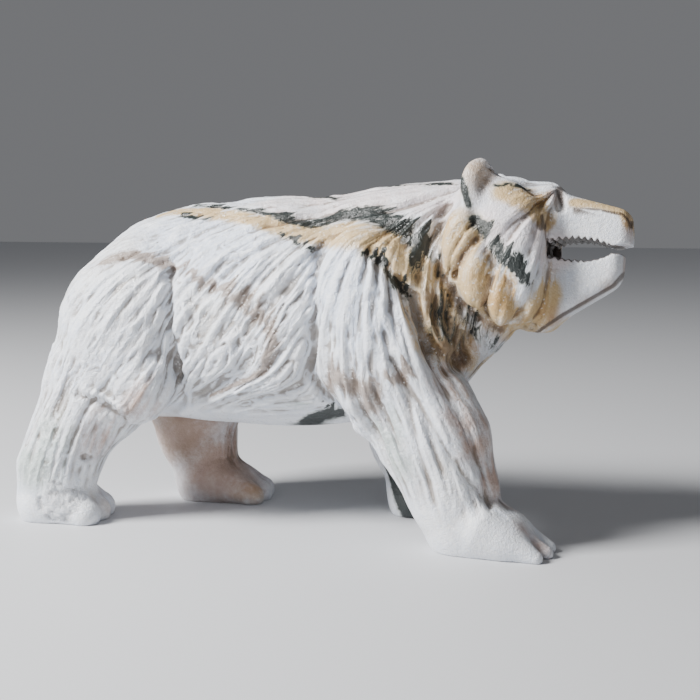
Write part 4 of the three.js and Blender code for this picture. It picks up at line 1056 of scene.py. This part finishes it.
def stone_material():
    """Banded calcite: white to bluish crystal with tan and brown layers and dark green veins, with painted
    shade in hollows, grooves and creases, painted highlights on crests and painted glints.
    """
    material = bpy.data.materials.new("calcite")
    n = Nodes(material)
    place = n.add("TexCoord").outputs["Object"]
    dark, tan, brown = n.channels("stains_and_shade")
    pink, blue, shade_and_marks = n.channels("clouds")
    ochre, rust_and_shade, moss = n.channels("tints")
    hollow, fur, chip = n.channels("relief")
    strand, hair, cover = n.channels("strands")
    broad = n.noise(place, CLOUD_SIZE, 3, 0.55)
    middling = n.noise(place, PATCH_SIZE, 4, 0.6)
    grain = n.noise(place, GRAIN_SIZE, 4, 0.65)
    speck = n.noise(place, SPECK_SIZE, 2, 0.5)
    hairs = n.maths("MULTIPLY", n.maths("SUBTRACT", hair, 0.5), cover)
    strands = n.maths("MULTIPLY", n.maths("SUBTRACT", strand, 0.5), cover)
    thin_strokes = n.maths("MULTIPLY", n.maths("SINE", n.maths("MULTIPLY", hair, 40.0)), cover)

    def ragged(share, patchy, grainy, feathered):
        """A share whose edges are broken up by patches, by grain and along the strands."""
        uneven = n.maths("MULTIPLY", n.maths("SUBTRACT", middling, 0.5), patchy)
        uneven = n.maths("ADD", uneven, n.maths("MULTIPLY", n.maths("SUBTRACT", grain, 0.5), grainy))
        uneven = n.maths("ADD", uneven, n.maths("MULTIPLY", strands, 0.25 * feathered))
        uneven = n.maths("ADD", uneven, n.maths("MULTIPLY", hairs, feathered))
        uneven = n.maths("ADD", uneven, n.maths("MULTIPLY", thin_strokes, 0.12 * feathered))
        return n.maths("ADD", share, n.maths("MULTIPLY", uneven, n.step(share, 0.02, 0.3)))

    colour = n.mix(n.step(broad, 0.45, 0.7, 0, 0.6), WHITE, CREAM)
    colour = n.mix(n.step(middling, 0.35, 0.7, 0.05, 0.5), colour, BLUISH)
    # Painted shade in the grooves between the strands
    colour = n.mix(n.step(hairs, -0.3, 0.1, 0.45, 0), colour, PAINTED_SHADE)
    colour = n.mix(n.step(blue, 0.1, 0.9, 0, 0.75), colour, BLUISH)
    # Painted highlight on the crests that stand above their surroundings
    colour = n.mix(n.step(hollow, 0.48, 0.25, 0, 0.6), colour, CREST_HIGHLIGHT)
    colour = n.mix(n.step(grain, 0.35, 0.65, 0, 0.25), colour, BLUISH)
    pinkish = n.maths("MULTIPLY", n.step(pink, 0.1, 0.9), n.step(middling, 0.3, 0.75, 0.25, 0.8))
    colour = n.mix(pinkish, colour, PINK)
    colour = n.mix(n.step(ragged(tan, 0.8, 0.3, 0.8), 0.15, 0.95, 0, 0.85), colour, TAN)
    colour = n.mix(n.step(ragged(ochre, 0.7, 0.4, 0.6), 0.1, 0.9, 0, 0.75), colour, OCHRE)
    # Rust-coloured stains, and painted shade on the hind legs and under the jaw
    colour = n.mix(n.step(ragged(rust_and_shade, 0.7, 0.4, 0.6), 0.1, 0.95, 0, 0.8), colour, RUST_AND_SHADE)
    colour = n.mix(n.step(ragged(moss, 0.5, 0.4, 0.6), 0.1, 0.9, 0, 0.7), colour, MOSS)
    # Brown stains, and painted shade along the tufts' valleys, on the far hind leg and under the right knee
    colour = n.mix(n.step(ragged(brown, 0.6, 0.4, 0.8), 0.05, 0.9, 0, 0.78), colour, BROWN)
    edge = ragged(dark, 0.15, 0.7, 1.5)
    colour = n.mix(n.step(edge, 0.1, 0.6, 0, 0.65), colour, GREY_GREEN)
    colour = n.mix(n.step(edge, 0.45, 0.75, 0, 0.97), colour, DARK)
    # Painted shade in the face's creases and holes and inside the mouth, and the dark mark on the cheek
    colour = n.mix(n.step(shade_and_marks, 0.3, 0.9, 0, 0.85), colour, UMBER_SHADE)
    colour = n.mix(n.maths("MULTIPLY", chip, 0.6), colour, CHIPPED)
    # Painted shade in the hollows and creases of the carving
    hollow_shade = n.maths("MULTIPLY", n.step(hollow, 0.52, 0.9), n.step(cover, 0, 1, 0.4, 1))
    colour = n.mix(hollow_shade, colour, PAINTED_SHADE, "MULTIPLY")
    # Crystal cells: a few get a lower roughness and have their colour whitened as painted glints, except
    # where stained or shaded
    glint = n.add("TexVoronoi", feature="F1")
    n.link(place, glint.inputs["Vector"])
    glint.inputs["Scale"].default_value = 1 / (CRYSTAL_SIZE * UNIT)
    pick = n.add("SeparateColor")
    n.link(glint.outputs["Color"], pick.inputs["Color"])
    bright = n.step(n.maths("ADD", pick.outputs["Red"], n.maths("MULTIPLY", chip, 0.3)), 0.95, 0.975)
    stained_and_shaded = n.maths("MAXIMUM", n.maths("MAXIMUM", dark, shade_and_marks), n.maths("MULTIPLY", rust_and_shade, 0.7))
    spark = n.maths("MULTIPLY", bright, n.step(stained_and_shaded, 0.1, 0.4, 1, 0))
    colour = n.mix(n.maths("MULTIPLY", spark, 0.45), colour, PAINTED_GLINT)
    n.link(colour, n.shader.inputs["Base Color"])

    rough = n.step(middling, 0.3, 0.75, 0.3, 0.48)
    rough = n.maths("SUBTRACT", rough, n.maths("MULTIPLY", spark, 0.2))
    n.link(rough, n.shader.inputs["Roughness"])
    n.shader.inputs["IOR"].default_value = 1.55
    n.shader.inputs["Subsurface Weight"].default_value = 0.08
    n.shader.inputs["Subsurface Radius"].default_value = (1.0, 0.85, 0.7)
    n.shader.inputs["Subsurface Scale"].default_value = 1.5 * UNIT

    height = n.maths("MULTIPLY", hairs, n.step(fur, 0.2, 1.2, 3.0, 6.0))
    height = n.maths("ADD", height, n.maths("MULTIPLY", grain, 2.0))
    height = n.maths("ADD", height, n.maths("MULTIPLY", speck, 1.0))
    height = n.maths("ADD", height, n.maths("MULTIPLY", pick.outputs["Green"], n.step(chip, 0, 1, 0.3, 3)))
    bump = n.add("Bump")
    bump.inputs["Strength"].default_value = 0.6
    bump.inputs["Distance"].default_value = GRAIN_DEPTH * UNIT
    n.link(height, bump.inputs["Height"])
    n.link(bump.outputs["Normal"], n.shader.inputs["Normal"])
    return material


bear, comb = make_bear()
colour_stone(bear, comb)
bear.data.materials.append(stone_material())
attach(bear, "root")
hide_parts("bear")

# Floor, light and camera
FLOOR_SIZE = 6
WINDOW_PLACE = (-0.62, -0.46, 0.62)
WINDOW_SIZE = 0.3
WINDOW_POWER = 28
CAMERA_PLACE = (148.007, -421.621, 110.032)
CAMERA_TILT = 83.636
CAMERA_TURN = 18
CAMERA_LENS = 66.857

bpy.ops.mesh.primitive_plane_add(size=FLOOR_SIZE, location=(0, 0, 0))
floor = bpy.context.object
floor.name = "floor"
floor_material = bpy.data.materials.new("floor")
floor_material.use_nodes = True
floor_shader = floor_material.node_tree.nodes["Principled BSDF"]
floor_shader.inputs["Base Color"].default_value = (0.6, 0.61, 0.63, 1)
floor_shader.inputs["Roughness"].default_value = 0.6
floor.data.materials.append(floor_material)
floor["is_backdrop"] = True

world = bpy.data.worlds.new("studio")
bpy.context.scene.world = world
world.use_nodes = True
background = world.node_tree.nodes["Background"]
background.inputs["Color"].default_value = (0.62, 0.63, 0.66, 1)
background.inputs["Strength"].default_value = 0.28

window_data = bpy.data.lights.new("window", "AREA")
window_data.size = WINDOW_SIZE
window_data.energy = WINDOW_POWER
window_data.color = (1, 0.99, 0.98)
window = bpy.data.objects.new("window", window_data)
bpy.context.scene.collection.objects.link(window)
window.location = WINDOW_PLACE
window.rotation_euler = (-window.location).to_track_quat("-Z", "Y").to_euler()

camera_data = bpy.data.cameras.new("camera")
camera_data.sensor_width = 36
camera_data.lens = CAMERA_LENS
camera_data.clip_start = 0.01
camera = bpy.data.objects.new("camera", camera_data)
bpy.context.scene.collection.objects.link(camera)
camera.location = [(a - b) * UNIT for a, b in zip(CAMERA_PLACE, MIDDLE)]
camera.rotation_euler = (math.radians(CAMERA_TILT), 0, math.radians(CAMERA_TURN))
bpy.context.scene.camera = camera
